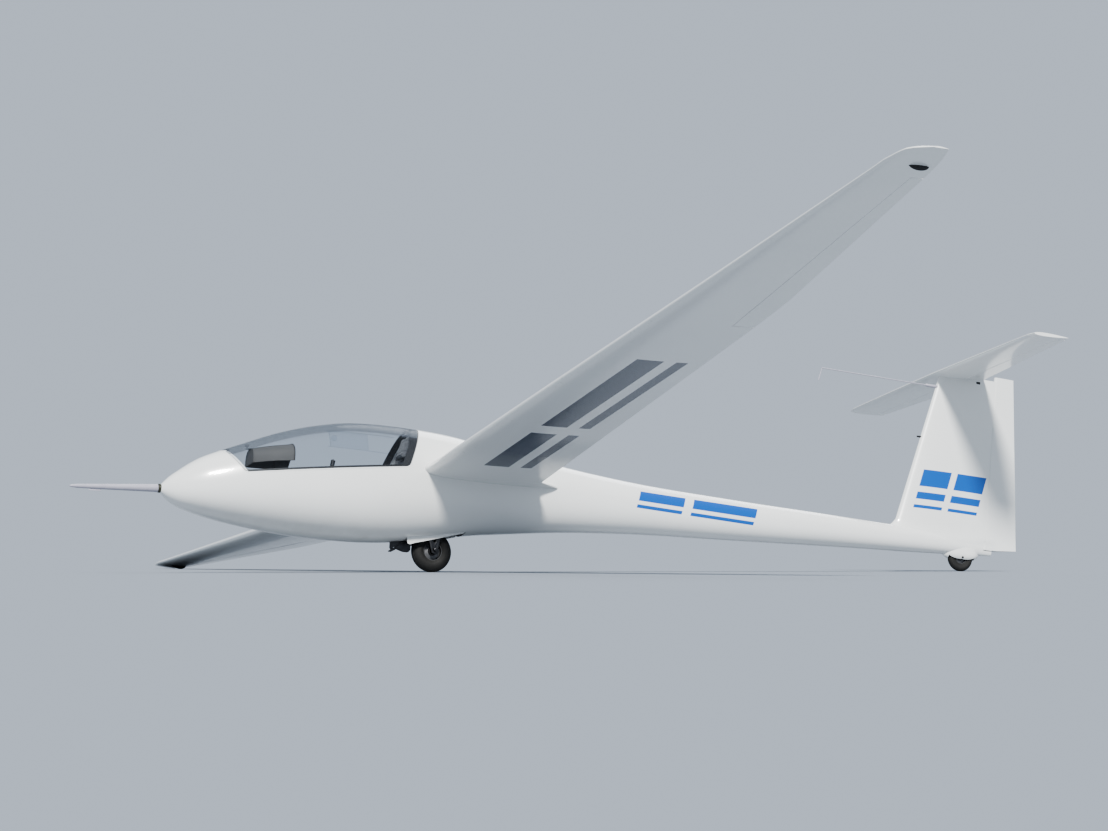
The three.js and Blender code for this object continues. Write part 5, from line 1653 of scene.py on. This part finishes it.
for part in hook_parts:
    carve(part, body_skin("belly", -0.0004, 1.5, 2.2))
hook_parts += [rod("pin", across(x, z, -0.0162, 0.0162), radius, sides) for x, z, radius, sides in (
    (1.712, -0.200, 0.006, 20), (1.775, -0.180, 0.005, 20), (1.826, -0.204, 0.008, 6))]
settle(joined("hook_mechanism", hook_parts), dark_steel, "dark_steel", "tow_hook")

# %% Tail wheel fairing
# x, half width, height of the underside
fairing_at = smooth_rows([
    (6.036, 0.005, 0.258), (6.056, 0.023, 0.246), (6.078, 0.037, 0.236), (6.110, 0.046, 0.227),
    (6.187, 0.050, 0.220), (6.262, 0.047, 0.226), (6.296, 0.038, 0.238), (6.318, 0.024, 0.254),
    (6.338, 0.005, 0.276)])
FAIRING_EDGE, FAIRING_TOP = 0.290, 0.318
BOWL_STEPS = 32


def fairing_section(x):
    half, bottom = fairing_at(x)
    section = []
    for k in range(BOWL_STEPS + 1):
        angle = math.pi * k / BOWL_STEPS
        depth = (FAIRING_EDGE - bottom) * math.sin(angle) ** 0.7
        section.append((x, half * math.cos(angle), FAIRING_EDGE - depth))
    return [*section, (x, -half, FAIRING_TOP), (x, half, FAIRING_TOP)]


fairing = drawn_through("tail_fairing", [fairing_section(x) for x in stations(6.036, 6.338, 0.009)])
carve(fairing, axle_rod("wheel_room", TAIL_HUB, (-0.033, 0.033), 0.107, 64))
carve(fairing, body_skin("boom", -0.0003, 5.9, BODY_END))
settle(fairing, gelcoat, "gelcoat", "tail_wheel_fairing", even=True)
tail_axle = joined("tail_axle", [
    axle_rod("pin", TAIL_HUB, (-0.0505, 0.0505), 0.006, 24),
    axle_rod("head", TAIL_HUB, (-0.0535, -0.0495), 0.009, 6),
    axle_rod("head", TAIL_HUB, (0.0495, 0.0535), 0.009, 6)])
settle(tail_axle, dark_steel, "dark_steel")

# %% [markdown]
# ## Nose, probes and skids
# A rubber ring finishes the nose, and a slim test boom grows out of it and droops a little, with one small
# vane under its tip. On the fin sit a bent energy probe and a short pitot tube. All but the vane are made of
# plain and tapering rods.

# %% Nose ring and boom
ring = rod("nose_ring_rubber", [(x, 0, 0) for x in (-0.0040, -0.0036, -0.0020, 0.0090, 0.0126, 0.0137)],
           [0.0255, 0.0285, 0.0308, 0.0310, 0.0306, 0.0300], 64)
settle(ring, olive_cap, "olive_cap", "nose_ring", angle=60)
# x, height of the middle, radius
nose_boom_at = straight_rows([
    (-0.626, -0.060, 0.0020), (-0.624, -0.0598, 0.0045), (-0.618, -0.0593, 0.0070), (-0.606, -0.0582, 0.0100),
    (-0.570, -0.055, 0.0140), (-0.360, -0.035, 0.020), (-0.007, -0.0003, 0.028)])
boom_xs = [-0.626, -0.624, -0.618, -0.606, -0.59, *stations(-0.57, -0.008, 0.04), -0.007]
boom_parts = [rod("nose_boom_tube", [(x, 0, nose_boom_at(x)[0]) for x in boom_xs],
                  [nose_boom_at(x)[1] for x in boom_xs], 48)]
COLLAR_RISE = 0.1
for x in (-0.574, -0.362, -0.020):
    z, radius = nose_boom_at(x)
    boom_parts.append(rod("collar", [(x + d, 0, z + d * COLLAR_RISE) for d in (0, 0.001, 0.009, 0.010)],
                          [radius, radius + 0.0009, radius + 0.0009, radius], 48))
VANE = [(-0.492, -0.076), (-0.404, -0.072), (-0.396, -0.050), (-0.476, -0.056)]
vane = side_slab("vane", VANE, -0.0025, 0.0025)
boom_parts.append(rounded_off(vane, 0.001, 2))
settle(joined("nose_boom_tube", boom_parts), probe_tube, "probe_tube", "nose_boom")

# %% Probes on the fin
PROBE_FOOT, PITOT_HEIGHT = 1.530, 1.128
probe = joined("energy_probe", [
    rod("socket", [(5.853, 0, 1.532), (5.858, 0, 1.532), (5.900, 0, 1.531),
                   (fin_at(PROBE_FOOT)[0] + 0.010, 0, PROBE_FOOT)], [0.0065, 0.0100, 0.0115, 0.0130], 32),
    rod("long_tube", [(4.993, 0, 1.545), (5.856, 0, 1.532)], 0.004, 20),
    rod("elbow", [(4.989, 0, 1.545), (4.997, 0, 1.545)], 0.0052, 20),
    rod("bent_tip", [(4.993, 0, 1.5485), (4.966, 0, 1.448)], [0.0042, 0.0035], 20)])
settle(probe, probe_tube, "probe_tube", "total_energy_probe")
pitot_xs = (5.796, 5.797, fin_at(PITOT_HEIGHT)[0] + 0.006)
pitot = rod("fin_pitot_tube", [(x, 0, PITOT_HEIGHT) for x in pitot_xs], [0.0048, 0.006, 0.0078])
carve(pitot, rod("bore", [(x, 0, PITOT_HEIGHT) for x in (5.79, 5.80)], 0.0028, 20))
settle(pitot, black_trim, "black_trim", "fin_pitot")
fitting = joined("tailplane_fitting", [
    straight_block("fitting", (6.262, 6.300), (-0.030, 0.030), (1.588, 1.6085), 0.004),
    rod("fitting_pin", across(6.281, 1.598, -0.036, 0.036), 0.006, 20)])
settle(fitting, black_trim, "black_trim")

# %% [markdown]
# A wing tip rests on a hard black shoe, so that the gelcoat stays off the ground. It is the lower half of a
# long flattened ball, cut to fit the wing's own tip.

# %% Wing tip skids
SKID_X, SKID_Y = 2.145, 7.215
SKID_HALVES = (0.062, 0.017, 0.030)
for side, hand in SIDES:
    centre = Vector((SKID_X, side * SKID_Y, wing_height(SKID_Y)))
    deselect()
    bpy.ops.mesh.primitive_uv_sphere_add(segments=40, ring_count=24, radius=1)
    skid = bpy.context.object
    skid.name = skid.data.name = f"tip_skid_shoe_{hand}"
    for vertex in skid.data.vertices:
        vertex.co = centre + Vector([c * half for c, half in zip(vertex.co, SKID_HALVES)])
    upper_half = (centre.z - 0.002, centre.z + 0.1)
    carve(skid, straight_block("upper_half", (2.045, 2.245), beside(side, 7.175, 7.255), upper_half))
    carve(skid, drawn_through("tip", [wing_section(y, side, wing_tip_at) for y in (7.1, 7.2, 7.3)]))
    settle(skid, black_trim, "black_trim", f"tip_skid_{hand}", angle=50)

# %% [markdown]
# ## Carried-over pieces
# The canopy hinge's cheeks and pin already have their true shape. They keep it and get their finish.

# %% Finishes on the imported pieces
painted(nodes["canopy_hinge"], dark_steel)
print("kept as packed: canopy_hinge")
